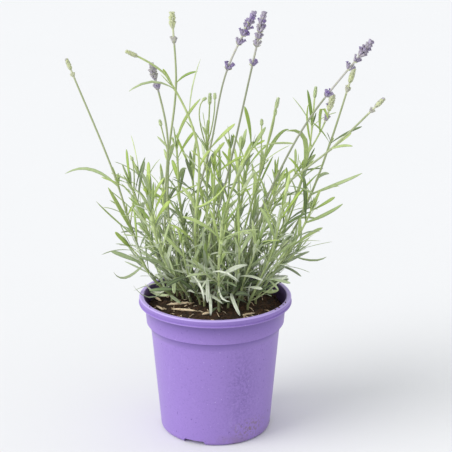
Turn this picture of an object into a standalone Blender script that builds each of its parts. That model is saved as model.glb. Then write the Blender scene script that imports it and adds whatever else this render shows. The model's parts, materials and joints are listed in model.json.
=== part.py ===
"""Potted lavender: a plastic nursery pot, soil, wood chips, leafy shoots, flower stalks and flower heads.

Metres, +Z up. The origin is the centre of the pot's foot, on the surface that the pot stands on.
-Y is the front and +X is the right-hand side.
"""

import math
import random

import bmesh
import bpy
import numpy as np
from mathutils import Matrix, Vector

# Pot
POT_HEIGHT = 0.1192
LIP_RADIUS = 0.065
LIP_DROP = 0.006
LIP_FLANGE = 0.0016
MOUTH_RADIUS = 0.0603
COLLAR_TOP_RADIUS = 0.0601
COLLAR_BOTTOM_RADIUS = 0.0582
COLLAR_BOTTOM = 0.0966
SHOULDER_RADIUS = 0.0546
SHOULDER_BOTTOM = 0.0880
FOOT_RADIUS = 0.0474
FOOT_ROUNDING = 0.0034
FOOT_RING_WIDTH = 0.0020
WALL = 0.0014
FLOOR_RECESS = 0.0040
POT_SEGMENTS = 44
NOTCH_WIDTH = 0.0190
NOTCH_HEIGHT = 0.0038
NOTCH_ANGLES = [math.radians(angle) for angle in (7, 127, 247)]
DRAIN_HOLE_RADIUS = 0.0035
DRAIN_CIRCLE_RADIUS = 0.029
DRAIN_HOLES = 6

# Soil
GAP = 0.0003
SOIL_EDGE = 0.1080
SOIL_CROWN = 0.0060
SOIL_RADIUS = 0.0581
SOIL_SEGMENTS = 32

# Stems: square in section, as on every lavender
STEM_RADIUS = 0.0011
STEM_TIP_RADIUS = 0.0007
STALK_RADIUS = 0.0009
LEVEL_STEP = 0.004
LEVEL_TOP = 0.376
STEM_SPACING = 0.0046
SPREAD_ROUNDS = 240
NODE_HALF = 0.0011

# Leaves
LEAF_STEPS = 8
LEAF_STATIONS = (3, 6)
LEAF_THICKNESS = 0.0008
LEAF_CLEARANCE = 0.0005
STALK_PAIRS_TO = 0.262
END_LEAF = 0.018
END_LEAF_HALF = 0.0017
GRID = 0.006

# Each leafy shoot: its foot in plan, then the points that it passes through, up to its tip.
SHOOTS = {
    "leafy_shoot_01": [(-0.031, 0.014), (-0.055, 0.012, 0.163), (-0.063, 0.016, 0.189), (-0.078, 0.020, 0.228)],
    "leafy_shoot_02": [(-0.028, 0.022), (-0.052, 0.034, 0.170), (-0.060, 0.042, 0.199), (-0.073, 0.050, 0.228)],
    "leafy_shoot_03": [(-0.026, 0.006), (-0.043, -0.012, 0.162), (-0.051, -0.018, 0.194), (-0.055, -0.022, 0.230)],
    "leafy_shoot_04": [(-0.016, 0.016), (-0.030, 0.030, 0.193), (-0.033, 0.036, 0.242), (-0.035, 0.038, 0.256)],
    "leafy_shoot_05": [(-0.006, 0.010), (-0.007, 0.016, 0.197), (-0.007, 0.018, 0.250), (-0.010, 0.020, 0.272)],
    "leafy_shoot_06": [(0.001, -0.004), (-0.001, -0.014, 0.206), (0.000, -0.020, 0.250)],
    "leafy_shoot_07": [(0.006, 0.016), (0.011, 0.030, 0.193), (0.013, 0.036, 0.239), (0.011, 0.040, 0.256)],
    "leafy_shoot_08": [(0.010, 0.008), (0.020, 0.010, 0.199), (0.021, 0.010, 0.240), (0.026, 0.010, 0.260)],
    "leafy_shoot_09": [(0.006, -0.010), (0.011, -0.022, 0.208), (0.021, -0.028, 0.237), (0.040, -0.032, 0.271)],
    "leafy_shoot_10": [(0.018, 0.014), (0.032, 0.026, 0.181), (0.038, 0.030, 0.215), (0.045, 0.034, 0.240)],
    "leafy_shoot_11": [(0.022, -0.002), (0.039, -0.004, 0.177), (0.050, -0.008, 0.217), (0.049, -0.010, 0.239)],
    "leafy_shoot_12": [(0.030, 0.012), (0.064, 0.020, 0.183), (0.075, 0.024, 0.221), (0.076, 0.026, 0.238)],
    "leafy_shoot_13": [(0.032, -0.006), (0.052, -0.004, 0.144), (0.068, -0.008, 0.171), (0.086, -0.014, 0.214)],
    "leafy_shoot_14": [(0.032, 0.014), (0.048, 0.024, 0.128), (0.065, 0.032, 0.140), (0.082, 0.040, 0.156)],
    "leafy_shoot_15": [(-0.034, 0.005), (-0.054, -0.006, 0.137), (-0.061, -0.010, 0.152), (-0.082, -0.018, 0.180)],
    "leafy_shoot_16": [(-0.004, -0.019), (-0.006, -0.030, 0.138), (-0.008, -0.036, 0.176)],
    "leafy_shoot_17": [(-0.012, -0.010), (-0.023, -0.034, 0.152), (-0.028, -0.050, 0.196)],
    "leafy_shoot_18": [(0.010, -0.018), (0.018, -0.030, 0.144), (0.019, -0.046, 0.192)],
    "leafy_shoot_19": [(0.018, -0.016), (0.025, -0.026, 0.144), (0.030, -0.034, 0.161), (0.038, -0.048, 0.192)],
    "leafy_shoot_20": [(0.003, -0.024), (0.003, -0.050, 0.166), (0.007, -0.074, 0.222)],
    "leafy_shoot_21": [(-0.020, -0.002), (-0.043, -0.040, 0.167), (-0.052, -0.062, 0.224)],
    "leafy_shoot_22": [(0.026, -0.018), (0.045, -0.038, 0.167), (0.056, -0.060, 0.227)],
    "leafy_shoot_23": [(-0.020, 0.030), (-0.041, 0.056, 0.167), (-0.048, 0.072, 0.215)],
    "leafy_shoot_24": [(-0.010, 0.034), (-0.017, 0.060, 0.174), (-0.022, 0.074, 0.226)],
    "leafy_shoot_25": [(0.002, 0.036), (0.003, 0.060, 0.175), (0.005, 0.078, 0.218)],
    "leafy_shoot_26": [(0.012, 0.034), (0.022, 0.058, 0.176), (0.031, 0.074, 0.226)],
    "leafy_shoot_27": [(0.022, 0.032), (0.044, 0.054, 0.177), (0.061, 0.070, 0.217)],
    "leafy_shoot_28": [(-0.028, 0.028), (-0.057, 0.048, 0.151), (-0.072, 0.060, 0.187)],
}

# Each flower stalk: its foot in plan, then the points that it and its flower head pass through.
STALKS = {
    "flower_stalk_01": [
        (-0.013, 0.000), (-0.017, -0.008, 0.191), (-0.003, -0.016, 0.254), (0.011, -0.022, 0.318),
        (0.031, -0.026, 0.360),
    ],
    "flower_stalk_02": [(-0.003, 0.004), (-0.004, 0.000, 0.158), (0.011, -0.004, 0.227), (0.039, -0.006, 0.357)],
    "flower_stalk_03": [
        (0.016, -0.006), (0.027, -0.006, 0.169), (0.042, -0.014, 0.207), (0.074, -0.030, 0.276),
        (0.119, -0.050, 0.341),
    ],
    "flower_stalk_04": [
        (-0.024, 0.004), (-0.040, -0.008, 0.161), (-0.041, -0.014, 0.205), (-0.038, -0.022, 0.263),
        (-0.049, -0.034, 0.321),
    ],
    "flower_stalk_05": [
        (-0.022, 0.008), (-0.039, 0.016, 0.180), (-0.039, 0.020, 0.231), (-0.032, 0.026, 0.295),
        (-0.035, 0.032, 0.352),
    ],
    "flower_stalk_06": [
        (-0.032, 0.009), (-0.049, 0.006, 0.127), (-0.069, 0.014, 0.168), (-0.082, 0.024, 0.208),
        (-0.125, 0.054, 0.310),
    ],
    "flower_stalk_07": [
        (-0.009, -0.014), (-0.016, -0.020, 0.169), (-0.016, -0.034, 0.266), (-0.022, -0.036, 0.284),
        (-0.031, -0.038, 0.302), (-0.041, -0.040, 0.317), (-0.059, -0.044, 0.329), (-0.067, -0.046, 0.333),
    ],
    "flower_stalk_08": [
        (0.026, 0.006), (0.064, 0.010, 0.168), (0.080, 0.006, 0.205), (0.094, 0.000, 0.249),
        (0.111, -0.008, 0.312),
    ],
    "flower_stalk_09": [
        (0.020, 0.006), (0.039, -0.014, 0.193), (0.053, -0.020, 0.216), (0.093, -0.030, 0.253),
        (0.131, -0.042, 0.295),
    ],
    "flower_stalk_10": [
        (0.022, 0.022), (0.047, 0.030, 0.180), (0.074, 0.040, 0.222), (0.095, 0.050, 0.259),
        (0.101, 0.054, 0.279),
    ],
    "bud_stalk_01": [(-0.003, 0.022), (-0.007, 0.026, 0.195), (-0.006, 0.032, 0.237), (-0.004, 0.037, 0.284)],
    "bud_stalk_02": [(0.030, 0.024), (0.061, 0.044, 0.171), (0.078, 0.054, 0.214), (0.087, 0.065, 0.284)],
    "bud_stalk_03": [(0.008, 0.002), (0.029, 0.004, 0.192), (0.039, 0.000, 0.232), (0.051, -0.008, 0.289)],
}

# How high up each stalk its leaf pairs go.
LEAFY_TO = {
    "flower_stalk_01": 0.175, "flower_stalk_02": 0.190, "flower_stalk_03": 0.190, "flower_stalk_04": 0.215,
    "flower_stalk_05": 0.250, "flower_stalk_06": 0.200, "flower_stalk_07": 0.290, "flower_stalk_08": 0.255,
    "flower_stalk_09": 0.225, "flower_stalk_10": 0.220, "bud_stalk_01": 0.240, "bud_stalk_02": 0.250,
    "bud_stalk_03": 0.240,
}

# Each head's whorls: distance below the tip and radius. The head's foot follows the last whorl.
HEADS = {
    "flower_stalk_01": ("flower_spike_01", [
        (0.0030, 0.0024), (0.0080, 0.0032), (0.0129, 0.0036), (0.0189, 0.0036), (0.0266, 0.0036), (0.0483, 0.0041),
    ]),
    "flower_stalk_02": ("flower_spike_02", [
        (0.0030, 0.0024), (0.0085, 0.0032), (0.0140, 0.0037), (0.0196, 0.0039), (0.0254, 0.0040), (0.0414, 0.0040),
    ]),
    "flower_stalk_03": ("flower_spike_03", [
        (0.0030, 0.0022), (0.0080, 0.0030), (0.0132, 0.0035), (0.0190, 0.0036), (0.0272, 0.0033), (0.0551, 0.0038),
    ]),
    "flower_stalk_04": ("flower_spike_04", [(0.003, 0.0020), (0.007, 0.0028), (0.0115, 0.0032), (0.0195, 0.0027)]),
    "flower_stalk_05": ("flower_spike_05", [(0.003, 0.0018), (0.007, 0.0024), (0.0110, 0.0024), (0.0225, 0.0024)]),
    "flower_stalk_06": ("flower_bud_06", [(0.0045, 0.0019), (0.0135, 0.0014)]),
    "flower_stalk_07": ("flower_bud_07", [(0.0045, 0.0018)]),
    "flower_stalk_08": ("flower_bud_08", [(0.0055, 0.0022), (0.0170, 0.0016)]),
    "flower_stalk_09": ("flower_bud_09", [(0.0045, 0.0020), (0.0130, 0.0016)]),
    "flower_stalk_10": ("flower_spike_10", [(0.003, 0.0018), (0.007, 0.0024), (0.0115, 0.0024), (0.0205, 0.0028)]),
}
VIOLET_SPIKES = ("flower_spike_01", "flower_spike_02", "flower_spike_03", "flower_spike_04")
WHORL_HALF = 0.0024
NECK_RADIUS = 0.0008
BUD_LENGTH = 0.009
BUD_RADIUS = 0.0018
BUD_ENDED = ("bud_stalk_01", "bud_stalk_02", "bud_stalk_03")

# Long leaves that stand out from the bush: stem, height on it, middle of the leaf, tip and width.
LONG_LEAVES = [
    ("flower_stalk_06", 0.207, (-0.107, 0.045, 0.217), (-0.131, 0.060, 0.209), 0.0038),
    ("flower_stalk_05", 0.295, (-0.024, 0.020, 0.303), (-0.014, 0.014, 0.307), 0.0024),
    ("flower_stalk_07", 0.302, (-0.048, -0.047, 0.310), (-0.066, -0.050, 0.303), 0.0022),
    ("flower_stalk_06", 0.168, (-0.080, 0.002, 0.196), (-0.088, -0.004, 0.214), 0.0042),
    ("leafy_shoot_15", 0.149, (-0.074, -0.026, 0.143), (-0.083, -0.034, 0.151), 0.0036),
    ("leafy_shoot_15", 0.122, (-0.056, -0.016, 0.122), (-0.068, -0.022, 0.135), 0.0030),
    ("flower_stalk_08", 0.205, (0.103, -0.018, 0.222), (0.118, -0.028, 0.232), 0.0040),
    ("leafy_shoot_13", 0.185, (0.090, -0.022, 0.196), (0.103, -0.030, 0.207), 0.0040),
    ("leafy_shoot_14", 0.142, (0.084, 0.026, 0.140), (0.096, 0.024, 0.144), 0.0028),
    ("leafy_shoot_12", 0.214, (0.075, 0.018, 0.249), (0.059, 0.010, 0.258), 0.0044),
    ("bud_stalk_02", 0.250, (0.082, 0.056, 0.268), (0.079, 0.054, 0.284), 0.0044),
    ("leafy_shoot_16", 0.138, (0.004, -0.036, 0.150), (0.018, -0.046, 0.146), 0.0030),
    ("flower_stalk_09", 0.252, (0.100, -0.038, 0.257), (0.108, -0.044, 0.258), 0.0030),
    ("leafy_shoot_25", 0.180, (0.004, 0.078, 0.184), (0.004, 0.094, 0.196), 0.0036),
    ("leafy_shoot_20", 0.186, (0.006, -0.077, 0.188), (0.008, -0.094, 0.198), 0.0036),
]

# Slivers of wood on the soil: the two ends in plan, width and thickness.
CHIPS = {
    "wood_chip_01": ((-0.0530, 0.0190), (-0.0460, 0.0030), 0.0030, 0.0018),
    "wood_chip_02": ((-0.0420, -0.0080), (-0.0180, -0.0100), 0.0040, 0.0020),
    "wood_chip_03": ((-0.0370, -0.0180), (-0.0140, -0.0270), 0.0032, 0.0018),
    "wood_chip_04": ((-0.0500, -0.0060), (-0.0430, -0.0180), 0.0024, 0.0014),
    "wood_chip_05": ((-0.0110, -0.0330), (-0.0040, -0.0300), 0.0036, 0.0016),
    "wood_chip_06": ((0.0220, -0.0330), (0.0330, -0.0270), 0.0022, 0.0014),
}
CHIP_GIRTHS = (0.35, 0.85, 1.0, 0.8, 0.3)

# Colours, roughness
LILAC_PLASTIC = ((0.36, 0.22, 0.62), 0.45)
PEAT = ((0.045, 0.030, 0.020), 0.95)
PALE_WOOD = ((0.60, 0.42, 0.25), 0.80)
LEAF_GREEN = ((0.22, 0.36, 0.10), 0.60)
LEAF_SILVER = ((0.30, 0.38, 0.25), 0.70)
SILVER_BELOW = 0.20
STALK_GREEN = ((0.28, 0.36, 0.20), 0.60)
FLOWER_VIOLET = ((0.17, 0.11, 0.36), 0.70)
BUD_GREEN = ((0.40, 0.48, 0.22), 0.65)


def finish(thing, look):
    """Gives an object a material of its own."""
    colour, roughness = look
    material = bpy.data.materials.new(thing.name)
    material.use_nodes = True
    shader = material.node_tree.nodes["Principled BSDF"]
    shader.inputs["Base Color"].default_value = (*colour, 1.0)
    shader.inputs["Roughness"].default_value = roughness
    shader.inputs["Metallic"].default_value = 0.0
    material.diffuse_color = (*colour, 1.0)
    thing.data.materials.append(material)


def new_object(name, mesh_data, smooth_below=None):
    """Turns a bmesh into a named object; edges flatter than smooth_below degrees are shaded smooth."""
    mesh = bpy.data.meshes.new(name)
    mesh_data.to_mesh(mesh)
    mesh_data.free()
    if smooth_below:
        mesh.shade_smooth()
        mesh.set_sharp_from_angle(angle=math.radians(smooth_below))
    thing = bpy.data.objects.new(name, mesh)
    bpy.context.collection.objects.link(thing)
    return thing


def turned(name, profile, segments):
    """A closed solid spun from a profile of (radius, height) points whose two ends are on the axis."""
    shape = bmesh.new()
    corners = [shape.verts.new((radius, 0.0, height)) for radius, height in profile]
    edges = [shape.edges.new(pair) for pair in zip(corners, corners[1:])]
    bmesh.ops.spin(
        shape, geom=corners + edges, cent=(0, 0, 0), axis=(0, 0, 1), dvec=(0, 0, 0),
        angle=math.tau, steps=segments, use_merge=True, use_duplicate=False,
    )
    bmesh.ops.remove_doubles(shape, verts=shape.verts, dist=1e-6)
    bmesh.ops.recalc_face_normals(shape, faces=shape.faces)
    return new_object(name, shape, smooth_below=35)


def arc(centre, radius, start, end, steps):
    """Points (radius, height) along an arc of a profile, angles in degrees."""
    angles = [math.radians(start + (end - start) * k / steps) for k in range(steps + 1)]
    return [(centre[0] + radius * math.cos(a), centre[1] + radius * math.sin(a)) for a in angles]


# Pot and what fills it


def inner_wall(height):
    """The pot's inside radius at a height."""
    heights = [FLOOR_RECESS + WALL, SHOULDER_BOTTOM, COLLAR_BOTTOM, POT_HEIGHT - 0.001]
    radii = [FOOT_RADIUS - WALL + 0.0004, SHOULDER_RADIUS - WALL, COLLAR_BOTTOM_RADIUS - WALL, MOUTH_RADIUS]
    return float(np.interp(height, heights, radii))


def pot():
    """The pot: foot ring, tapered body, shoulder, collar and a down-turned lip, open underneath."""
    ring_inside = FOOT_RADIUS - FOOT_ROUNDING - FOOT_RING_WIDTH
    floor_top = FLOOR_RECESS + WALL
    lip_bottom = POT_HEIGHT - LIP_DROP
    flange_bottom = POT_HEIGHT - LIP_FLANGE
    skirt_inside = LIP_RADIUS - WALL
    foot_edge = (FOOT_RADIUS - FOOT_ROUNDING, FOOT_ROUNDING)
    lip_edge = (LIP_RADIUS - 0.0014, POT_HEIGHT - 0.0014)
    mouth_edge = (MOUTH_RADIUS + 0.0010, POT_HEIGHT - 0.0010)
    profile = [
        (0.0, FLOOR_RECESS),
        (ring_inside - 0.0006, FLOOR_RECESS),
        (ring_inside, 0.0),
        *arc(foot_edge, FOOT_ROUNDING, -90, 0, 3),
        (SHOULDER_RADIUS, SHOULDER_BOTTOM),
        (SHOULDER_RADIUS + 0.0012, SHOULDER_BOTTOM + 0.0030),
        (COLLAR_BOTTOM_RADIUS, COLLAR_BOTTOM),
        (COLLAR_TOP_RADIUS, flange_bottom - 0.0008),
        (COLLAR_TOP_RADIUS + 0.0008, flange_bottom),
        (skirt_inside, flange_bottom),
        (skirt_inside + 0.0002, lip_bottom),
        (LIP_RADIUS - 0.0002, lip_bottom),
        *arc(lip_edge, 0.0014, 0, 90, 3),
        *arc(mouth_edge, 0.0010, 90, 180, 2),
        (COLLAR_BOTTOM_RADIUS - WALL, COLLAR_BOTTOM),
        (SHOULDER_RADIUS - WALL, SHOULDER_BOTTOM),
        (FOOT_RADIUS - WALL + 0.0004, floor_top + 0.0020),
        (FOOT_RADIUS - WALL - 0.0016, floor_top),
        (0.0, floor_top),
    ]
    thing = turned("nursery_pot", profile, POT_SEGMENTS)
    cut = thing.modifiers.new("drainage", "BOOLEAN")
    cut.operation = "DIFFERENCE"
    cut.solver = "EXACT"
    cut.object = drainage_cutter(floor_top)
    finish(thing, LILAC_PLASTIC)


def drainage_cutter(floor_top):
    """Three notches through the foot ring, and round holes through the floor, as one guide object."""
    shape = bmesh.new()
    for angle in NOTCH_ANGLES:
        block = bmesh.ops.create_cube(shape, size=1.0)["verts"]
        bmesh.ops.scale(shape, verts=block, vec=(0.012, NOTCH_WIDTH, 2 * NOTCH_HEIGHT))
        bmesh.ops.translate(shape, verts=block, vec=(FOOT_RADIUS - 0.001, 0, 0))
        bmesh.ops.rotate(shape, verts=block, cent=(0, 0, 0), matrix=Matrix.Rotation(angle, 3, "Z"))
    places = [(0.0, 0.0)]
    for k in range(DRAIN_HOLES):
        angle = math.tau * k / DRAIN_HOLES
        places.append((DRAIN_CIRCLE_RADIUS * math.cos(angle), DRAIN_CIRCLE_RADIUS * math.sin(angle)))
    for x, y in places:
        plug = bmesh.ops.create_cone(
            shape, cap_ends=True, segments=12, radius1=DRAIN_HOLE_RADIUS, radius2=DRAIN_HOLE_RADIUS, depth=0.006,
        )["verts"]
        bmesh.ops.translate(shape, verts=plug, vec=(x, y, (FLOOR_RECESS + floor_top) / 2))
    cutter = new_object("drainage_cutter", shape)
    cutter.hide_render = True
    cutter.display_type = "WIRE"
    return cutter


def soil_height(x, y):
    """The soil's surface, slightly mounded round the plant."""
    return SOIL_EDGE + SOIL_CROWN * (1.0 - (x * x + y * y) / SOIL_RADIUS**2)


def soil():
    """The plug of compost, clear of the pot by the gap."""
    bottom = FLOOR_RECESS + WALL + GAP
    profile = [(0.0, bottom), (FOOT_RADIUS - WALL - 0.0030, bottom)]
    for height in (bottom + 0.0030, SHOULDER_BOTTOM, COLLAR_BOTTOM + 0.0004, SOIL_EDGE):
        profile.append((inner_wall(height) - 2 * GAP, height))
    for part in (0.93, 0.75, 0.5, 0.25):
        radius = SOIL_RADIUS * part
        profile.append((radius, soil_height(radius, 0.0)))
    profile.append((0.0, soil_height(0.0, 0.0)))
    finish(turned("potting_soil", profile, SOIL_SEGMENTS), PEAT)


def wood_chip(name, start, end, width, thickness):
    """A flat sliver that follows the soil, thinner at both ends."""
    shape = bmesh.new()
    along = Vector((end[0] - start[0], end[1] - start[1], 0.0))
    across = Vector((-along.y, along.x, 0.0)).normalized() * width / 2
    up = Vector((0.0, 0.0, thickness / 2))
    rings = []
    for k, girth in enumerate(CHIP_GIRTHS):
        x = start[0] + along.x * k / (len(CHIP_GIRTHS) - 1)
        y = start[1] + along.y * k / (len(CHIP_GIRTHS) - 1)
        middle = Vector((x, y, soil_height(x, y) + 2 * GAP + thickness / 2))
        side, rise = across * girth, up * girth
        corners = (middle - side - rise, middle - side + rise, middle + side + rise, middle + side - rise)
        rings.append([shape.verts.new(corner) for corner in corners])
    skin(shape, rings)
    shape.faces.new(reversed(rings[0]))
    shape.faces.new(rings[-1])
    bmesh.ops.recalc_face_normals(shape, faces=shape.faces)
    finish(new_object(name, shape), PALE_WOOD)


def skin(shape, rings):
    """Joins each ring of vertices to the next with quads; returns them by ring and side."""
    sides = []
    for lower, upper in zip(rings, rings[1:]):
        count = len(lower)
        sides.append([
            shape.faces.new((lower[k], lower[(k + 1) % count], upper[(k + 1) % count], upper[k]))
            for k in range(count)
        ])
    return sides


# Where the stems go


def smooth_through(heights, values, at):
    """A smooth curve through the values, as a function of height."""
    slopes = np.gradient(values, heights)
    span = np.clip(np.searchsorted(heights, at) - 1, 0, len(heights) - 2)
    length = heights[span + 1] - heights[span]
    t = (at - heights[span]) / length
    return (
        (2 * t**3 - 3 * t**2 + 1) * values[span]
        + (t**3 - 2 * t**2 + t) * length * slopes[span]
        + (3 * t**2 - 2 * t**3) * values[span + 1]
        + (t**3 - t**2) * length * slopes[span + 1]
    )


def stem_lines():
    """Each stem's centre line, with the stems pushed apart in plan wherever two come too close."""
    routes = {}
    for name, points in {**SHOOTS, **STALKS}.items():
        x, y = points[0]
        routes[name] = np.array([(x, y, soil_height(x, y) + 2 * GAP), *points[1:]])
    levels = np.arange(SOIL_EDGE, LEVEL_TOP, LEVEL_STEP)
    plan = np.full((len(routes), len(levels), 2), np.nan)
    for row, route in enumerate(routes.values()):
        inside = (levels > route[0, 2] + 0.001) & (levels < route[-1, 2])
        for axis in (0, 1):
            plan[row, inside, axis] = smooth_through(route[:, 2], route[:, axis], levels[inside])
    for _ in range(SPREAD_ROUNDS):
        between = plan[:, None] - plan[None, :]
        distance = np.linalg.norm(between, axis=3)
        distance[np.isnan(distance) | (distance < 1e-9)] = 1.0
        strength = np.clip(STEM_SPACING - distance, 0.0, None) / distance * 0.5
        push = np.nansum(between * strength[..., None], axis=1)
        eased = 0.5 * push
        eased[:, 1:] += 0.25 * push[:, :-1]
        eased[:, :-1] += 0.25 * push[:, 1:]
        plan += eased
    lines = {}
    for row, (name, route) in enumerate(routes.items()):
        used = ~np.isnan(plan[row, :, 0])
        middle = np.column_stack([plan[row, used], levels[used]])
        foot = np.array([*middle[0, :2], soil_height(*middle[0, :2]) + 2 * GAP])
        if middle[0, 2] - foot[2] < 0.001:
            middle = middle[1:]
        lines[name] = [Vector(point) for point in (foot, *middle, route[-1])]
    return lines


class Line:
    """A centre line that can be read at any distance along it."""

    def __init__(self, points):
        self.points = points
        steps = [0.0]
        for a, b in zip(points, points[1:]):
            steps.append(steps[-1] + (b - a).length)
        self.steps = np.array(steps)
        self.length = steps[-1]
        self.table = np.array([tuple(point) for point in points])

    def at(self, distance):
        return Vector([float(np.interp(distance, self.steps, self.table[:, k])) for k in range(3)])

    def heading(self, distance):
        ahead = self.at(min(distance + 0.002, self.length))
        behind = self.at(max(distance - 0.002, 0.0))
        return (ahead - behind).normalized()

    def distance_at_height(self, height):
        return float(np.interp(height, self.table[:, 2], self.steps))


# Keeping the leaves apart


class Room:
    """Balls that fill the stems and leaves made so far, kept in a grid of small cells."""

    def __init__(self):
        self.cells = {}

    def cell(self, point):
        return tuple(math.floor(value / GRID) for value in point)

    def add(self, point, radius, owner):
        self.cells.setdefault(self.cell(point), []).append((point, radius, owner))

    def is_free(self, point, radius, ignored):
        i, j, k = self.cell(point)
        for di in (-1, 0, 1):
            for dj in (-1, 0, 1):
                for dk in (-1, 0, 1):
                    for other, size, owner in self.cells.get((i + di, j + dj, k + dk), ()):
                        if owner != ignored and (other - point).length < size + radius + LEAF_CLEARANCE:
                            return False
        return True


def clear_of_pot(point, half_width):
    """Whether a leaf point stays off the soil and the pot."""
    radius = math.hypot(point.x, point.y)
    if radius < inner_wall(POT_HEIGHT) - half_width - 0.0012:
        return point.z > soil_height(point.x, point.y) + half_width * 0.6 + 0.0012
    if radius < LIP_RADIUS + half_width + 0.0008:
        return point.z > POT_HEIGHT + half_width * 0.6 + 0.0008
    return point.z > 0.05


def leaf_half_width(part, width):
    """Half the leaf's width at a part of its length: narrow at the stem, widest past the middle."""
    return width / 2 * float(np.interp(part, (0.0, 0.25, 0.6, 0.9, 1.0), (0.45, 0.8, 1.0, 0.6, 0.15)))


def leaf_fits(room, path, width, stem):
    """Whether a leaf along the path is clear of everything, apart from its own stem near its root."""
    for k in range(1, LEAF_STEPS + 1):
        half = leaf_half_width(k / LEAF_STEPS, width)
        if not clear_of_pot(path[k], half):
            return False
        own = stem if (path[k] - path[0]).length < 0.007 else None
        if not room.is_free(path[k], half, own):
            return False
    return True


def claim_leaf(room, path, width, stem):
    """Fills the leaf's place, from a little way out of its stem."""
    for k in range(1, LEAF_STEPS + 1):
        room.add(path[k], leaf_half_width(k / LEAF_STEPS, width), stem if k < 2 else stem + " leaf")


def curved_path(root, along, out, length, lean, bend, droop):
    """A leaf's middle: it leaves its stem at the angle lean, turns outwards by bend, and its tip droops."""
    path = [root.copy()]
    for k in range(LEAF_STEPS):
        part = (k + 0.5) / LEAF_STEPS
        angle = lean + bend * part
        heading = along * math.cos(angle) + out * math.sin(angle)
        heading.z -= droop * part * part
        path.append(path[-1] + heading.normalized() * length / LEAF_STEPS)
    return path


def arched_path(root, middle, tip):
    """A leaf's middle from the stem through a point to the tip, as one quadratic curve."""
    control = 2 * Vector(middle) - (root + Vector(tip)) / 2
    path = []
    for k in range(LEAF_STEPS + 1):
        t = k / LEAF_STEPS
        path.append(root * (1 - t) ** 2 + control * 2 * t * (1 - t) + Vector(tip) * t * t)
    return path


# Growing the stems and leaves


class Stem:
    """One stem: its line, its radius, the nodes where leaves grow, and the leaves."""

    def __init__(self, name, points, dice):
        self.name = name
        self.line = Line(points)
        self.is_stalk = name in STALKS
        self.turn = dice.uniform(0, math.tau)
        self.end = self.line.length - (0.0 if self.is_stalk else END_LEAF)
        if name in HEADS:
            self.end -= head_length(HEADS[name][1]) + GAP
        self.nodes = self.place_nodes(dice)
        self.leaves = []

    def radius(self, distance):
        start = STALK_RADIUS if self.is_stalk else STEM_RADIUS
        return start + (STEM_TIP_RADIUS - start) * min(1.0, distance / self.line.length)

    def place_nodes(self, dice):
        """Distances of the leaf pairs, closer together on leafy shoots, and of the long leaves."""
        highest = self.end - 2 * NODE_HALF
        marked = [
            min(self.line.distance_at_height(height), highest)
            for name, height, *_ in LONG_LEAVES if name == self.name
        ]
        if self.is_stalk:
            last = self.line.distance_at_height(LEAFY_TO[self.name])
            gap = (0.030, 0.040)
        else:
            last = self.end - 0.004
            gap = (0.018, 0.024)
        nodes = list(marked)
        distance = dice.uniform(0.010, 0.020)
        while distance < last:
            if all(abs(distance - other) > 0.010 for other in marked):
                nodes.append(distance)
            distance += dice.uniform(*gap)
        return sorted(nodes)

    def frame(self, distance):
        """Heading, and the two directions across the stem that its flat sides face."""
        heading = self.line.heading(distance)
        first = Vector((math.cos(self.turn), math.sin(self.turn), 0.0))
        across = (first - heading * first.dot(heading)).normalized()
        return heading, across, heading.cross(across)

    def side_facing(self, distance, side):
        heading, across, beside = self.frame(distance)
        return (across, beside, -across, -beside)[side]


def head_length(whorls):
    """How long a head is from its foot to its tip."""
    return whorls[-1][0] + WHORL_HALF + 0.0010


def grow_long_leaves(stems, room):
    """The leaves whose places are set one by one."""
    for name, height, middle, tip, width in LONG_LEAVES:
        stem = stems[name]
        distance = min(stem.nodes, key=lambda node: abs(node - stem.line.distance_at_height(height)))
        root = stem.line.at(distance)
        wanted = (Vector(middle) - root).normalized()
        side = max(range(4), key=lambda k: stem.side_facing(distance, k).dot(wanted))
        path = arched_path(root, middle, tip)
        stem.leaves.append((distance, side, path, width))
        claim_leaf(room, path, width, name)


def grow_leaf_pairs(stem, room, dice):
    """Opposite leaves at each node, each pair a quarter turn from the last; one that can't fit is left out."""
    for number, distance in enumerate(stem.nodes):
        height = distance / stem.line.length
        for side in (number % 2, number % 2 + 2):
            length = dice.uniform(0.026, 0.038) * (0.85 if stem.is_stalk else 1.0)
            width = dice.uniform(0.0030, 0.0042)
            lean = math.radians(dice.uniform(44, 62) - 26 * height)
            bend = math.radians(dice.uniform(5, 40))
            droop = dice.uniform(0.0, 0.6) * (1.0 - height)
            if any(abs(leaf[0] - distance) < 1e-6 and leaf[1] == side for leaf in stem.leaves):
                continue
            heading = stem.line.heading(distance)
            out = stem.side_facing(distance, side)
            root = stem.line.at(distance)
            if stem.is_stalk and root.z > STALK_PAIRS_TO:
                continue
            for shorter, leaning in ((1.0, 0.0), (0.85, -0.2), (0.8, 0.2), (0.65, 0.0), (0.6, 0.35), (0.5, -0.25)):
                path = curved_path(root, heading, out, length * shorter, lean + leaning, bend, droop)
                if leaf_fits(room, path, width, stem.name):
                    stem.leaves.append((distance, side, path, width))
                    claim_leaf(room, path, width, stem.name)
                    break


def plan_plant():
    """All stems with their leaves, none touching another."""
    dice = random.Random(29)
    stems = {name: Stem(name, points, dice) for name, points in stem_lines().items()}
    room = Room()
    for stem in stems.values():
        for distance in np.arange(0.0, stem.line.length, 0.002):
            radius = stem.radius(distance) if distance < stem.end else END_LEAF_HALF
            room.add(stem.line.at(distance), radius, stem.name)
        for below, radius in head_balls(stem):
            room.add(stem.line.at(stem.line.length - below), radius, stem.name + " head")
    for start, end, width, thickness in CHIPS.values():
        for part in (0.0, 0.25, 0.5, 0.75, 1.0):
            x, y = (start[k] + (end[k] - start[k]) * part for k in (0, 1))
            room.add(Vector((x, y, soil_height(x, y) + thickness)), width / 2, "chip")
    grow_long_leaves(stems, room)
    for stem in stems.values():
        grow_leaf_pairs(stem, room, dice)
    return stems


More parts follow.
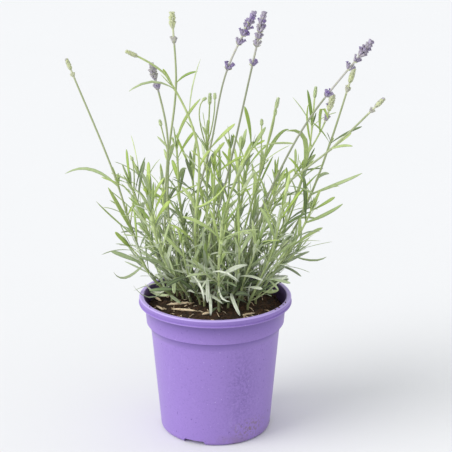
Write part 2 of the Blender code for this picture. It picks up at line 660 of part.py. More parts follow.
def head_balls(stem):
    """Where a stem's head or bud is, as distances below the tip and radii."""
    if stem.name in HEADS:
        return HEADS[stem.name][1]
    if stem.name in BUD_ENDED:
        return [(BUD_LENGTH / 2, BUD_RADIUS)]
    return []


# Solids


def stem_ring(shape, stem, distance, radius, level=False):
    """Four vertices round a stem; the lowest ring lies level, on the soil."""
    centre = stem.line.at(distance)
    heading, across, beside = stem.frame(distance)
    if level:
        heading = Vector((0, 0, 1))
        across = Vector((math.cos(stem.turn), math.sin(stem.turn), 0.0))
        beside = heading.cross(across)
    ring = []
    for quarter in range(4):
        angle = math.radians(quarter * 90 - 45)
        ring.append(shape.verts.new(centre + radius * (math.cos(angle) * across + math.sin(angle) * beside)))
    return ring


def leaf_section(path, k, width, across):
    """The four corners of a leaf's cross-section, in the order of the stem's side that it grows from."""
    ahead = (path[min(k + 1, LEAF_STEPS)] - path[k - 1]).normalized()
    flat = (across - ahead * across.dot(ahead)).normalized()
    thick = ahead.cross(flat) * LEAF_THICKNESS / 2
    half = flat * leaf_half_width(k / LEAF_STEPS, width)
    return path[k] - half - thick, path[k] + half - thick, path[k] + half + thick, path[k] - half + thick


def extrude_leaf(shape, face, stem, distance, side, path, width):
    """Draws a side of the stem out along the leaf's path, section by section, to a point."""
    across = stem.line.heading(distance).cross(stem.side_facing(distance, side))
    for k in LEAF_STATIONS:
        face = bmesh.ops.extrude_discrete_faces(shape, faces=[face])["faces"][0]
        for vert, corner in zip(face.verts, leaf_section(path, k, width, across)):
            vert.co = corner
    face = bmesh.ops.extrude_discrete_faces(shape, faces=[face])["faces"][0]
    bmesh.ops.pointmerge(shape, verts=face.verts, merge_co=path[-1])


def extrude_end_leaf(shape, face, stem):
    """Draws the top of a shoot out into the flat young leaf that ends it."""
    for part, half in ((0.25, 0.7), (0.6, 1.0)):
        distance = stem.end + END_LEAF * part
        heading, across, beside = stem.frame(distance)
        centre = stem.line.at(distance)
        face = bmesh.ops.extrude_discrete_faces(shape, faces=[face])["faces"][0]
        for vert, (u, v) in zip(face.verts, ((1, -1), (1, 1), (-1, 1), (-1, -1))):
            vert.co = centre + across * u * LEAF_THICKNESS / 2 + beside * v * half * END_LEAF_HALF
    face = bmesh.ops.extrude_discrete_faces(shape, faces=[face])["faces"][0]
    bmesh.ops.pointmerge(shape, verts=face.verts, merge_co=stem.line.at(stem.line.length))


def ring_distances(stem):
    """Where the stem has rings: foot, below and above each leaf node, along the bare part, and the end."""
    rings = [0.0]
    for node in stem.nodes:
        rings += [node - NODE_HALF, node + NODE_HALF]
    bare = stem.nodes[-1] if stem.nodes else 0.0
    count = max(1, round((stem.end - bare) / 0.022))
    rings += [bare + (stem.end - bare) * k / count for k in range(1, count + 1)]
    return sorted(rings)


def stem_solid(stem):
    """A stem with its leaves, drawn out of its sides, and with its end leaf or bud."""
    shape = bmesh.new()
    distances = ring_distances(stem)
    radii = [stem.radius(distance) for distance in distances]
    if stem.name in BUD_ENDED:
        while distances[-1] > stem.end - BUD_LENGTH - 0.003:
            distances.pop()
            radii.pop()
        for below, radius in ((BUD_LENGTH, STEM_TIP_RADIUS), (BUD_LENGTH * 0.6, BUD_RADIUS), (0.0, 0.0004)):
            distances.append(stem.end - below)
            radii.append(radius)
    rings = [
        stem_ring(shape, stem, distance, radius, level=k == 0)
        for k, (distance, radius) in enumerate(zip(distances, radii))
    ]
    sides = skin(shape, rings)
    shape.faces.new(reversed(rings[0]))
    end = shape.faces.new(rings[-1])
    for distance, side, path, width in stem.leaves:
        below = min(range(len(distances)), key=lambda k: abs(distances[k] - (distance - NODE_HALF)))
        extrude_leaf(shape, sides[below][side], stem, distance, side, path, width)
    if not stem.is_stalk:
        extrude_end_leaf(shape, end, stem)
    thing = new_object(stem.name, shape)
    if stem.is_stalk:
        finish(thing, STALK_GREEN)
    else:
        finish(thing, LEAF_SILVER if stem.line.points[-1].z < SILVER_BELOW else LEAF_GREEN)


def head_solid(stem):
    """A flower head: a thin axis that swells into each whorl, six-sided, pointed at the tip."""
    name, whorls = HEADS[stem.name]
    shape = bmesh.new()
    rings_at = [(head_length(whorls), NECK_RADIUS)]
    for below, radius in reversed(whorls):
        rings_at += [(below + WHORL_HALF, NECK_RADIUS), (below + WHORL_HALF * 0.5, radius * 0.9)]
        rings_at += [(below - WHORL_HALF * 0.4, radius), (below - WHORL_HALF, radius * 0.5)]
        rings_at.append((below - WHORL_HALF * 1.3, NECK_RADIUS))
    rings_at.append((0.0, 0.0003))
    rings = []
    for below, radius in thinned(rings_at):
        distance = stem.line.length - below
        centre = stem.line.at(distance)
        heading, across, beside = stem.frame(distance)
        rings.append([
            shape.verts.new(centre + radius * (math.cos(angle) * across + math.sin(angle) * beside))
            for angle in (math.tau * k / 6 for k in range(6))
        ])
    skin(shape, rings)
    shape.faces.new(reversed(rings[0]))
    shape.faces.new(rings[-1])
    look = FLOWER_VIOLET if name in VIOLET_SPIKES else BUD_GREEN
    finish(new_object(name, shape, smooth_below=60), look)


def thinned(rings_at):
    """Leaves out rings that would lie on or below the one before, where whorls sit close together."""
    kept = [rings_at[0]]
    for ring in rings_at[1:]:
        if kept[-1][0] - ring[0] > 0.0003:
            kept.append(ring)
    return kept


def build():
    for thing in list(bpy.context.scene.objects):
        bpy.data.objects.remove(thing)
    pot()
    soil()
    for name, chip in CHIPS.items():
        wood_chip(name, *chip)
    stems = plan_plant()
    for stem in stems.values():
        stem_solid(stem)
        if stem.name in HEADS:
            head_solid(stem)


build()
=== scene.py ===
"""The looks of the potted lavender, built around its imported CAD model.

Metres, +Z up, -Y is the front. The stems and main leaves are planned exactly as the CAD plans them, so
each visual stem lies on its CAD node; finer growth is added between them.
"""

import json
import math
import random

import bmesh
import bpy
import numpy as np
from mathutils import Matrix, Vector, noise

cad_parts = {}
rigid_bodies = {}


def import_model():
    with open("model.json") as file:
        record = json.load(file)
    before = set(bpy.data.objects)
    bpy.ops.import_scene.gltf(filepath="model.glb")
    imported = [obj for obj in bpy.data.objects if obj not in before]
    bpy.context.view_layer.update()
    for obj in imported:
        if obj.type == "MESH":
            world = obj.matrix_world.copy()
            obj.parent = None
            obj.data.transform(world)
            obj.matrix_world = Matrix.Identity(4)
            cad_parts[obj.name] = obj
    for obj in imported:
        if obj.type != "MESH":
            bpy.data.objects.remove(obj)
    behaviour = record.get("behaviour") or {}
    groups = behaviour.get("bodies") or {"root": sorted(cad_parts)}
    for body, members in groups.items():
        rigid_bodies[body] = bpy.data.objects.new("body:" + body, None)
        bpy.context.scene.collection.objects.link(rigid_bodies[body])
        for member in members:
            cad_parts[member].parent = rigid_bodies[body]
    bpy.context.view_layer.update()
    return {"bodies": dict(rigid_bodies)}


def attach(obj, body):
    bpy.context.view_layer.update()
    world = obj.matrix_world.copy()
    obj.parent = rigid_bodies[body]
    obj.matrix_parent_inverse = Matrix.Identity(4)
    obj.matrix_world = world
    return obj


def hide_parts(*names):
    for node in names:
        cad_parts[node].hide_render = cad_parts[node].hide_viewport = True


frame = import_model()
BODY = next(iter(frame["bodies"]))

# Pot, as in the CAD
POT_HEIGHT = 0.1192
LIP_RADIUS = 0.065
LIP_DROP = 0.006
LIP_FLANGE = 0.0016
MOUTH_RADIUS = 0.0603
COLLAR_TOP_RADIUS = 0.0601
COLLAR_BOTTOM_RADIUS = 0.0582
COLLAR_BOTTOM = 0.0966
SHOULDER_RADIUS = 0.0546
SHOULDER_BOTTOM = 0.0880
FOOT_RADIUS = 0.0474
FOOT_ROUNDING = 0.0034
FOOT_RING_WIDTH = 0.0020
WALL = 0.0014
FLOOR_RECESS = 0.0040
COLLAR_STEP = 0.0966
COLLAR_LEDGE = 0.0012
POT_SEGMENTS = 192
SHARP_ANGLE = math.radians(35)
NOTCH_WIDTH = 0.0190
NOTCH_HEIGHT = 0.0038
NOTCH_ANGLES = [math.radians(angle) for angle in (7, 127, 247)]
DRAIN_HOLE_RADIUS = 0.0035
DRAIN_CIRCLE_RADIUS = 0.029
DRAIN_HOLES = 6

# Soil, as in the CAD
GAP = 0.0003
SOIL_EDGE = 0.1080
SOIL_CROWN = 0.0060
SOIL_RADIUS = 0.0581

# Stems and leaves, as in the CAD
STEM_RADIUS = 0.0011
STEM_TIP_RADIUS = 0.0007
STALK_RADIUS = 0.0009
LEVEL_STEP = 0.004
LEVEL_TOP = 0.376
STEM_SPACING = 0.0046
SPREAD_ROUNDS = 240
NODE_HALF = 0.0011
LEAF_STEPS = 8
LEAF_CLEARANCE = 0.0005
STALK_PAIRS_TO = 0.262
SHOOT_GAP = (0.018, 0.024)
STALK_GAP = (0.030, 0.040)
PAIR_LENGTH = (0.026, 0.038)
PAIR_WIDTH = (0.0030, 0.0042)
PAIR_TRIES = ((1.0, 0.0), (0.85, -0.2), (0.8, 0.2), (0.65, 0.0), (0.6, 0.35), (0.5, -0.25))
END_LEAF = 0.018
END_LEAF_HALF = 0.0017
GRID = 0.006

# Each leafy shoot: its foot in plan, then the points that it passes through, up to its tip.
SHOOTS = {
    "leafy_shoot_01": [
        (-0.031, 0.014), (-0.055, 0.012, 0.163), (-0.063, 0.016, 0.189), (-0.078, 0.020, 0.228),
    ],
    "leafy_shoot_02": [
        (-0.028, 0.022), (-0.052, 0.034, 0.170), (-0.060, 0.042, 0.199), (-0.073, 0.050, 0.228),
    ],
    "leafy_shoot_03": [
        (-0.026, 0.006), (-0.043, -0.012, 0.162), (-0.051, -0.018, 0.194), (-0.055, -0.022, 0.230),
    ],
    "leafy_shoot_04": [
        (-0.016, 0.016), (-0.030, 0.030, 0.193), (-0.033, 0.036, 0.242), (-0.035, 0.038, 0.256),
    ],
    "leafy_shoot_05": [
        (-0.006, 0.010), (-0.007, 0.016, 0.197), (-0.007, 0.018, 0.250), (-0.010, 0.020, 0.272),
    ],
    "leafy_shoot_06": [(0.001, -0.004), (-0.001, -0.014, 0.206), (0.000, -0.020, 0.250)],
    "leafy_shoot_07": [(0.006, 0.016), (0.011, 0.030, 0.193), (0.013, 0.036, 0.239), (0.011, 0.040, 0.256)],
    "leafy_shoot_08": [(0.010, 0.008), (0.020, 0.010, 0.199), (0.021, 0.010, 0.240), (0.026, 0.010, 0.260)],
    "leafy_shoot_09": [
        (0.006, -0.010), (0.011, -0.022, 0.208), (0.021, -0.028, 0.237), (0.040, -0.032, 0.271),
    ],
    "leafy_shoot_10": [(0.018, 0.014), (0.032, 0.026, 0.181), (0.038, 0.030, 0.215), (0.045, 0.034, 0.240)],
    "leafy_shoot_11": [
        (0.022, -0.002), (0.039, -0.004, 0.177), (0.050, -0.008, 0.217), (0.049, -0.010, 0.239),
    ],
    "leafy_shoot_12": [(0.030, 0.012), (0.064, 0.020, 0.183), (0.075, 0.024, 0.221), (0.076, 0.026, 0.238)],
    "leafy_shoot_13": [
        (0.032, -0.006), (0.052, -0.004, 0.144), (0.068, -0.008, 0.171), (0.086, -0.014, 0.214),
    ],
    "leafy_shoot_14": [(0.032, 0.014), (0.048, 0.024, 0.128), (0.065, 0.032, 0.140), (0.082, 0.040, 0.156)],
    "leafy_shoot_15": [
        (-0.034, 0.005), (-0.054, -0.006, 0.137), (-0.061, -0.010, 0.152), (-0.082, -0.018, 0.180),
    ],
    "leafy_shoot_16": [(-0.004, -0.019), (-0.006, -0.030, 0.138), (-0.008, -0.036, 0.176)],
    "leafy_shoot_17": [(-0.012, -0.010), (-0.023, -0.034, 0.152), (-0.028, -0.050, 0.196)],
    "leafy_shoot_18": [(0.010, -0.018), (0.018, -0.030, 0.144), (0.019, -0.046, 0.192)],
    "leafy_shoot_19": [
        (0.018, -0.016), (0.025, -0.026, 0.144), (0.030, -0.034, 0.161), (0.038, -0.048, 0.192),
    ],
    "leafy_shoot_20": [(0.003, -0.024), (0.003, -0.050, 0.166), (0.007, -0.074, 0.222)],
    "leafy_shoot_21": [(-0.020, -0.002), (-0.043, -0.040, 0.167), (-0.052, -0.062, 0.224)],
    "leafy_shoot_22": [(0.026, -0.018), (0.045, -0.038, 0.167), (0.056, -0.060, 0.227)],
    "leafy_shoot_23": [(-0.020, 0.030), (-0.041, 0.056, 0.167), (-0.048, 0.072, 0.215)],
    "leafy_shoot_24": [(-0.010, 0.034), (-0.017, 0.060, 0.174), (-0.022, 0.074, 0.226)],
    "leafy_shoot_25": [(0.002, 0.036), (0.003, 0.060, 0.175), (0.005, 0.078, 0.218)],
    "leafy_shoot_26": [(0.012, 0.034), (0.022, 0.058, 0.176), (0.031, 0.074, 0.226)],
    "leafy_shoot_27": [(0.022, 0.032), (0.044, 0.054, 0.177), (0.061, 0.070, 0.217)],
    "leafy_shoot_28": [(-0.028, 0.028), (-0.057, 0.048, 0.151), (-0.072, 0.060, 0.187)],
}

# Each flower stalk: its foot in plan, then the points that it and its flower head pass through.
STALKS = {
    "flower_stalk_01": [
        (-0.013, 0.000), (-0.017, -0.008, 0.191), (-0.003, -0.016, 0.254), (0.011, -0.022, 0.318),
        (0.031, -0.026, 0.360),
    ],
    "flower_stalk_02": [
        (-0.003, 0.004), (-0.004, 0.000, 0.158), (0.011, -0.004, 0.227), (0.039, -0.006, 0.357),
    ],
    "flower_stalk_03": [
        (0.016, -0.006), (0.027, -0.006, 0.169), (0.042, -0.014, 0.207), (0.074, -0.030, 0.276),
        (0.119, -0.050, 0.341),
    ],
    "flower_stalk_04": [
        (-0.024, 0.004), (-0.040, -0.008, 0.161), (-0.041, -0.014, 0.205), (-0.038, -0.022, 0.263),
        (-0.049, -0.034, 0.321),
    ],
    "flower_stalk_05": [
        (-0.022, 0.008), (-0.039, 0.016, 0.180), (-0.039, 0.020, 0.231), (-0.032, 0.026, 0.295),
        (-0.035, 0.032, 0.352),
    ],
    "flower_stalk_06": [
        (-0.032, 0.009), (-0.049, 0.006, 0.127), (-0.069, 0.014, 0.168), (-0.082, 0.024, 0.208),
        (-0.125, 0.054, 0.310),
    ],
    "flower_stalk_07": [
        (-0.009, -0.014), (-0.016, -0.020, 0.169), (-0.016, -0.034, 0.266), (-0.022, -0.036, 0.284),
        (-0.031, -0.038, 0.302), (-0.041, -0.040, 0.317), (-0.059, -0.044, 0.329), (-0.067, -0.046, 0.333),
    ],
    "flower_stalk_08": [
        (0.026, 0.006), (0.064, 0.010, 0.168), (0.080, 0.006, 0.205), (0.094, 0.000, 0.249),
        (0.111, -0.008, 0.312),
    ],
    "flower_stalk_09": [
        (0.020, 0.006), (0.039, -0.014, 0.193), (0.053, -0.020, 0.216), (0.093, -0.030, 0.253),
        (0.131, -0.042, 0.295),
    ],
    "flower_stalk_10": [
        (0.022, 0.022), (0.047, 0.030, 0.180), (0.074, 0.040, 0.222), (0.095, 0.050, 0.259),
        (0.101, 0.054, 0.279),
    ],
    "bud_stalk_01": [(-0.003, 0.022), (-0.007, 0.026, 0.195), (-0.006, 0.032, 0.237), (-0.004, 0.037, 0.284)],
    "bud_stalk_02": [(0.030, 0.024), (0.061, 0.044, 0.171), (0.078, 0.054, 0.214), (0.087, 0.065, 0.284)],
    "bud_stalk_03": [(0.008, 0.002), (0.029, 0.004, 0.192), (0.039, 0.000, 0.232), (0.051, -0.008, 0.289)],
}

# How high up each stalk its leaf pairs go.
LEAFY_TO = {
    "flower_stalk_01": 0.175, "flower_stalk_02": 0.190, "flower_stalk_03": 0.190, "flower_stalk_04": 0.215,
    "flower_stalk_05": 0.250, "flower_stalk_06": 0.200, "flower_stalk_07": 0.290, "flower_stalk_08": 0.255,
    "flower_stalk_09": 0.225, "flower_stalk_10": 0.220, "bud_stalk_01": 0.240, "bud_stalk_02": 0.250,
    "bud_stalk_03": 0.240,
}

# Each head's whorls: distance below the tip and radius. The head's foot follows the last whorl.
HEADS = {
    "flower_stalk_01": ("flower_spike_01", [
        (0.0030, 0.0024), (0.0080, 0.0032), (0.0129, 0.0036), (0.0189, 0.0036), (0.0266, 0.0036),
        (0.0483, 0.0041),
    ]),
    "flower_stalk_02": ("flower_spike_02", [
        (0.0030, 0.0024), (0.0085, 0.0032), (0.0140, 0.0037), (0.0196, 0.0039), (0.0254, 0.0040),
        (0.0414, 0.0040),
    ]),
    "flower_stalk_03": ("flower_spike_03", [
        (0.0030, 0.0022), (0.0080, 0.0030), (0.0132, 0.0035), (0.0190, 0.0036), (0.0272, 0.0033),
        (0.0551, 0.0038),
    ]),
    "flower_stalk_04": ("flower_spike_04", [
        (0.003, 0.0020), (0.007, 0.0028), (0.0115, 0.0032), (0.0195, 0.0027),
    ]),
    "flower_stalk_05": ("flower_spike_05", [
        (0.003, 0.0018), (0.007, 0.0024), (0.0110, 0.0024), (0.0225, 0.0024),
    ]),
    "flower_stalk_06": ("flower_bud_06", [(0.0045, 0.0019), (0.0135, 0.0014)]),
    "flower_stalk_07": ("flower_bud_07", [(0.0045, 0.0018)]),
    "flower_stalk_08": ("flower_bud_08", [(0.0055, 0.0022), (0.0170, 0.0016)]),
    "flower_stalk_09": ("flower_bud_09", [(0.0045, 0.0020), (0.0130, 0.0016)]),
    "flower_stalk_10": ("flower_spike_10", [
        (0.003, 0.0018), (0.007, 0.0024), (0.0115, 0.0024), (0.0205, 0.0028),
    ]),
}
VIOLET_SPIKES = ("flower_spike_01", "flower_spike_02", "flower_spike_03", "flower_spike_04")
WHORL_HALF = 0.0024
NECK_RADIUS = 0.0008
BUD_LENGTH = 0.009
BUD_RADIUS = 0.0018
BUD_ENDED = ("bud_stalk_01", "bud_stalk_02", "bud_stalk_03")

# Long leaves that stand out from the bush: stem, height on it, middle of the leaf, tip and width.
LONG_LEAVES = [
    ("flower_stalk_06", 0.207, (-0.107, 0.045, 0.217), (-0.131, 0.060, 0.209), 0.0038),
    ("flower_stalk_05", 0.295, (-0.024, 0.020, 0.303), (-0.014, 0.014, 0.307), 0.0024),
    ("flower_stalk_07", 0.302, (-0.048, -0.047, 0.310), (-0.066, -0.050, 0.303), 0.0022),
    ("flower_stalk_06", 0.168, (-0.080, 0.002, 0.196), (-0.088, -0.004, 0.214), 0.0042),
    ("leafy_shoot_15", 0.149, (-0.074, -0.026, 0.143), (-0.083, -0.034, 0.151), 0.0036),
    ("leafy_shoot_15", 0.122, (-0.056, -0.016, 0.122), (-0.068, -0.022, 0.135), 0.0030),
    ("flower_stalk_08", 0.205, (0.103, -0.018, 0.222), (0.118, -0.028, 0.232), 0.0040),
    ("leafy_shoot_13", 0.185, (0.090, -0.022, 0.196), (0.103, -0.030, 0.207), 0.0040),
    ("leafy_shoot_14", 0.142, (0.084, 0.026, 0.140), (0.096, 0.024, 0.144), 0.0028),
    ("leafy_shoot_12", 0.214, (0.075, 0.018, 0.249), (0.059, 0.010, 0.258), 0.0044),
    ("bud_stalk_02", 0.250, (0.082, 0.056, 0.268), (0.079, 0.054, 0.284), 0.0044),
    ("leafy_shoot_16", 0.138, (0.004, -0.036, 0.150), (0.018, -0.046, 0.146), 0.0030),
    ("flower_stalk_09", 0.252, (0.100, -0.038, 0.257), (0.108, -0.044, 0.258), 0.0030),
    ("leafy_shoot_25", 0.180, (0.004, 0.078, 0.184), (0.004, 0.094, 0.196), 0.0036),
    ("leafy_shoot_20", 0.186, (0.006, -0.077, 0.188), (0.008, -0.094, 0.198), 0.0036),
]

# How silvery each of those is, how pale, and how much of its width is seen
LONG_TONES = [
    (0.75, 0.40, 0.95), (0.10, 0.22, 1.0), (0.75, 0.55, 1.0), (0.25, 0.50, 0.9), (0.90, 0.60, 0.8),
    (0.95, 0.60, 0.55), (0.70, 0.50, 1.0), (0.60, 0.35, 1.0), (0.80, 0.50, 0.8), (0.45, 0.55, 1.0),
    (0.15, 0.22, 0.7), (0.95, 0.80, 0.6), (0.50, 0.50, 0.9), (0.20, 0.50, 1.0), (0.30, 0.60, 1.0),
]

# Slivers of wood on the soil: the two ends in plan, width and thickness.
CHIPS = {
    "wood_chip_01": ((-0.0530, 0.0190), (-0.0460, 0.0030), 0.0030, 0.0018),
    "wood_chip_02": ((-0.0420, -0.0080), (-0.0180, -0.0100), 0.0040, 0.0020),
    "wood_chip_03": ((-0.0370, -0.0180), (-0.0140, -0.0270), 0.0032, 0.0018),
    "wood_chip_04": ((-0.0500, -0.0060), (-0.0430, -0.0180), 0.0024, 0.0014),
    "wood_chip_05": ((-0.0110, -0.0330), (-0.0040, -0.0300), 0.0036, 0.0016),
    "wood_chip_06": ((0.0220, -0.0330), (0.0330, -0.0270), 0.0022, 0.0014),
}
CHIP_SLIMNESS = {"wood_chip_02": 0.5, "wood_chip_05": 0.85, "wood_chip_06": 0.45}
CHIP_GIRTHS = (0.35, 0.85, 1.0, 0.8, 0.3)


# Seeds of everything that is drawn by chance
PLAN_SEED = 29
GROWTH_SEED = 41
PIECE_SEED = 83
CRUMB_SEED = 5
FIBRE_SEED = 11

# Finer growth between the CAD's leaves
SILVER_TOP = 0.202
SILVER_FULL = 0.130
FRONT_SILVER = 3.0
ODD_SHARE = 0.13
ODD_SILVER = 0.6
TUFTS_TO = 0.162
SPRIGS_TO = 0.152
SPRIG_GAP = (0.010, 0.017)
AXIL_RISE = 0.0012
INNER_REACH = 0.046
# Painted shade on leaves deep in the bush: below this height, within this reach of the axis, and close over
# the soil
DEEP_TOP = 0.162
DEEP_SPAN = 0.032
DEEP_REACH = 0.060
DEEP_EDGE = 0.020
CLOSE_HEIGHT = 0.030
CLOSE_SHADE = 0.55
PALE_SHARE = 0.32
DARK_BELOW = 0.23
DARK_SHADE = 0.07
DARK_SILVER = 0.45
BARE_TO = 0.012
BARE_HEIGHT = 0.021
BARE_REACH = 0.036
BARE_REACH_LEFT = 0.030
BARE_SPLIT = -0.008
FACING_UP = Vector((0.0, -0.75, 0.66))
STALK_BARE_ABOVE = 0.170
PAIRS_TO = 0.215
FINE_ROOT = 0.004
SKIRT_LEAVES = 9
FINE_CLEARANCE = -0.0002
FINE_WIDTH = 0.0024
TWIG_RADIUS = 0.00055
STEM_STEP = 0.0035
STEM_BURIED = 0.004

# Finer growth by kind, as ranges: length, width, lean and bend in degrees, droop
TUFT_LEAF = ((0.009, 0.021), (0.0016, 0.0027), (8, 30), (-12, 30), (0.0, 0.2))
BETWEEN_LEAF = ((0.022, 0.040), (0.0020, 0.0032), (14, 36), (-12, 34), (0.0, 0.25))
SKIRT_LEAF = ((0.012, 0.026), (0.0016, 0.0030), (20, 64), (-40, 90), (0.0, 0.8))
TWIG_LEAF = ((0.009, 0.020), (0.0014, 0.0025), (16, 46), (-20, 50), (0.0, 0.5))
SPRIG = ((0.022, 0.046), None, (14, 46), (-34, 5), (-0.1, 0.15))
SKIRT_FROM = (0.003, 0.024)
TWIG_FIRST = 0.006
TWIG_GAP = (0.0050, 0.0085)
FINE_TRIES = ((1.0, 0.0), (0.7, 0.15), (0.5, -0.2))

# A leaf's section from its right margin over the top: across, up, and which side a point is on (0 at the
# midrib, 0.5 at the margin, 1 underneath); then where its sections are, and its outline.
LEAF_SECTION = (
    (1.0, -0.16, 0.50), (0.74, 0.07, 0.37), (0.36, 0.13, 0.18), (0.0, 0.0, 0.0), (-0.36, 0.13, 0.18),
    (-0.74, 0.07, 0.37), (-1.0, -0.16, 0.50), (-0.62, -0.12, 1.0), (0.0, -0.24, 1.0), (0.62, -0.12, 1.0),
)
LEAF_PARTS = (0.0, 0.08, 0.20, 0.34, 0.48, 0.62, 0.75, 0.86, 0.94, 1.0)
FINE_SECTION = (
    (1.0, -0.14, 0.50), (0.5, 0.12, 0.25), (0.0, 0.0, 0.0), (-0.5, 0.12, 0.25), (-1.0, -0.14, 0.50),
    (0.0, -0.26, 1.0),
)
FINE_PARTS = (0.0, 0.14, 0.32, 0.52, 0.72, 0.89, 1.0)
OUTLINE_PARTS = (0.0, 0.10, 0.25, 0.45, 0.68, 0.86, 0.95, 1.0)
BLUNT_WIDTHS = (0.34, 0.42, 0.62, 0.84, 1.0, 0.92, 0.66, 0.22)
POINTED_WIDTHS = (0.36, 0.50, 0.78, 1.0, 0.86, 0.50, 0.26, 0.06)

# Leaves that are set one by one: stem, height on it, middle, tip, width and how silvery
HAND_SET_LEAVES = [
    ("leafy_shoot_17", 0.150, (-0.013, -0.050, 0.147), (-0.009, -0.050, 0.131), 0.0019, 1.0),
    ("leafy_shoot_16", 0.146, (-0.0062, -0.046, 0.1405), (-0.0062, -0.048, 0.1293), 0.0034, 1.0),
    ("leafy_shoot_16", 0.134, (-0.0038, -0.047, 0.1275), (-0.0038, -0.050, 0.1184), 0.0026, 1.0),
    ("leafy_shoot_16", 0.148, (0.006, -0.054, 0.158), (0.019, -0.056, 0.150), 0.0018, 1.0),
    ("leafy_shoot_20", 0.140, (0.0050, -0.050, 0.1345), (0.0116, -0.052, 0.1316), 0.0019, 1.0),
    ("leafy_shoot_18", 0.128, (0.0140, -0.041, 0.1300), (0.0201, -0.050, 0.1184), 0.0036, 0.95),
    ("leafy_shoot_15", 0.122, (-0.052, 0.012, 0.1165), (-0.0605, 0.014, 0.1235), 0.0022, 0.9),
    ("leafy_shoot_15", 0.118, (-0.044, 0.004, 0.1165), (-0.0560, 0.016, 0.1150), 0.0036, 0.6),
    ("leafy_shoot_15", 0.117, (-0.036, -0.004, 0.1178), (-0.0290, -0.0135, 0.1158), 0.0040, 0.75),
    ("leafy_shoot_14", 0.124, (0.052, 0.010, 0.1270), (0.0585, 0.004, 0.1295), 0.0036, 0.3),
    ("leafy_shoot_13", 0.124, (0.045, -0.004, 0.1220), (0.0535, 0.002, 0.1215), 0.0034, 0.5),
    ("flower_stalk_07", 0.279, (-0.0177, -0.034, 0.3025), (-0.0109, -0.032, 0.325), 0.0013, 0.5),
    ("flower_stalk_07", 0.203, (-0.001, -0.045, 0.216), (0.010, -0.050, 0.231), 0.0042, 0.2),
    ("flower_stalk_10", 0.248, (0.090, 0.040, 0.271), (0.096, 0.038, 0.262), 0.0030, 0.2),
    ("flower_stalk_10", 0.236, (0.078, 0.040, 0.262), (0.080, 0.042, 0.276), 0.0022, 0.1),
    ("flower_stalk_06", 0.166, (-0.088, 0.010, 0.186), (-0.099, 0.004, 0.200), 0.0020, 0.5),
    ("leafy_shoot_04", 0.240, (-0.026, 0.030, 0.262), (-0.012, 0.026, 0.282), 0.0030, 0.3),
    ("leafy_shoot_10", 0.226, (0.052, 0.030, 0.248), (0.062, 0.026, 0.256), 0.0034, 0.1),
]

# Thin side twigs that end in a small bud: stem, height on it, middle, tip and the bud's length
BUD_SPRIGS = [
    ("bud_stalk_01", 0.236, (-0.013, 0.020, 0.270), (-0.007, 0.020, 0.284), 0.0040),
    ("bud_stalk_01", 0.244, (-0.001, 0.028, 0.266), (0.000, 0.030, 0.286), 0.0052),
    ("bud_stalk_03", 0.226, (0.038, -0.002, 0.252), (0.038, -0.004, 0.271), 0.0052),
    ("bud_stalk_03", 0.246, (0.047, -0.004, 0.264), (0.049, -0.006, 0.280), 0.0056),
    ("flower_stalk_04", 0.248, (-0.041, -0.018, 0.260), (-0.044, -0.020, 0.274), 0.0050),
    ("flower_stalk_06", 0.176, (-0.068, 0.020, 0.212), (-0.070, 0.020, 0.234), 0.0032),
]

BUD_SILVER = 0.5
BUD_SHADE = 0.78

# How each flower head looks: the kind of its calyces (0 pale green, 0.45 grey, 0.7 violet, 1 corolla),
# that of its lowest whorl, the share that has open flowers, how far they lean out and how many there are
SPIKE_STYLES = {
    "flower_spike_01": dict(kind=0.66, low_kind=0.74, open=0.3, tilt=(28, 46), count=8, axis=0.34, packed=1),
    "flower_spike_02": dict(kind=0.56, low_kind=0.68, open=0.2, tilt=(26, 42), count=7, axis=0.34, packed=2),
    "flower_spike_03": dict(kind=0.57, low_kind=0.74, open=0.2, tilt=(24, 40), count=7, axis=0.34, packed=2),
    "flower_spike_04": dict(kind=0.43, low_kind=0.62, open=0.05, tilt=(14, 30), count=8, axis=0.34, packed=2),
    "flower_spike_05": dict(kind=0.12, low_kind=0.34, open=0.0, tilt=(14, 28), count=7, axis=0.2, packed=2),
    "flower_spike_10": dict(kind=0.24, low_kind=0.46, open=0.1, tilt=(14, 30), count=7, axis=0.2, packed=2),
}
BUD_STYLES = {
    "flower_bud_06": dict(kind=0.06, low_kind=0.20, axis=0.2),
    "flower_bud_07": dict(kind=0.03, low_kind=0.20, axis=0.1),
    "flower_bud_08": dict(kind=0.08, low_kind=0.30, axis=0.2),
    "flower_bud_09": dict(kind=0.10, low_kind=0.34, axis=0.2),
}
CALYX_LENGTH = 0.0058
CALYX_RADIUS = 0.00085
CALYX_PROFILE = (
    (0.0, 0.40), (0.12, 0.72), (0.38, 1.0), (0.75, 0.92), (1.0, 1.05), (0.98, 0.70), (0.80, 0.50),
)
THICKER_STEMS = {"flower_stalk_07": 1.45, "flower_stalk_05": 1.15, "flower_stalk_08": 1.15}
STALK_GREYNESS = {
    "flower_stalk_01": 0.92, "flower_stalk_02": 0.95, "flower_stalk_03": 0.95, "flower_stalk_04": 0.70,
    "flower_stalk_05": 0.60, "flower_stalk_06": 0.70, "flower_stalk_07": 0.18, "flower_stalk_08": 0.65,
    "flower_stalk_09": 0.70, "flower_stalk_10": 0.30,
}

# Soil surface and what lies on it
SOIL_RINGS = 90
SOIL_SIDES = 240
CRUMBS = 900
FIBRES = 80
LITTER_REACH = 0.0565
FIBRE_REACH = 0.052

# Crumbs on the lip: degrees round the pot, and size
LIP_CRUMBS = ((-38, 0.0006), (-33, 0.0008), (-26, 0.0005), (-21, 0.0007), (-150, 0.0005))

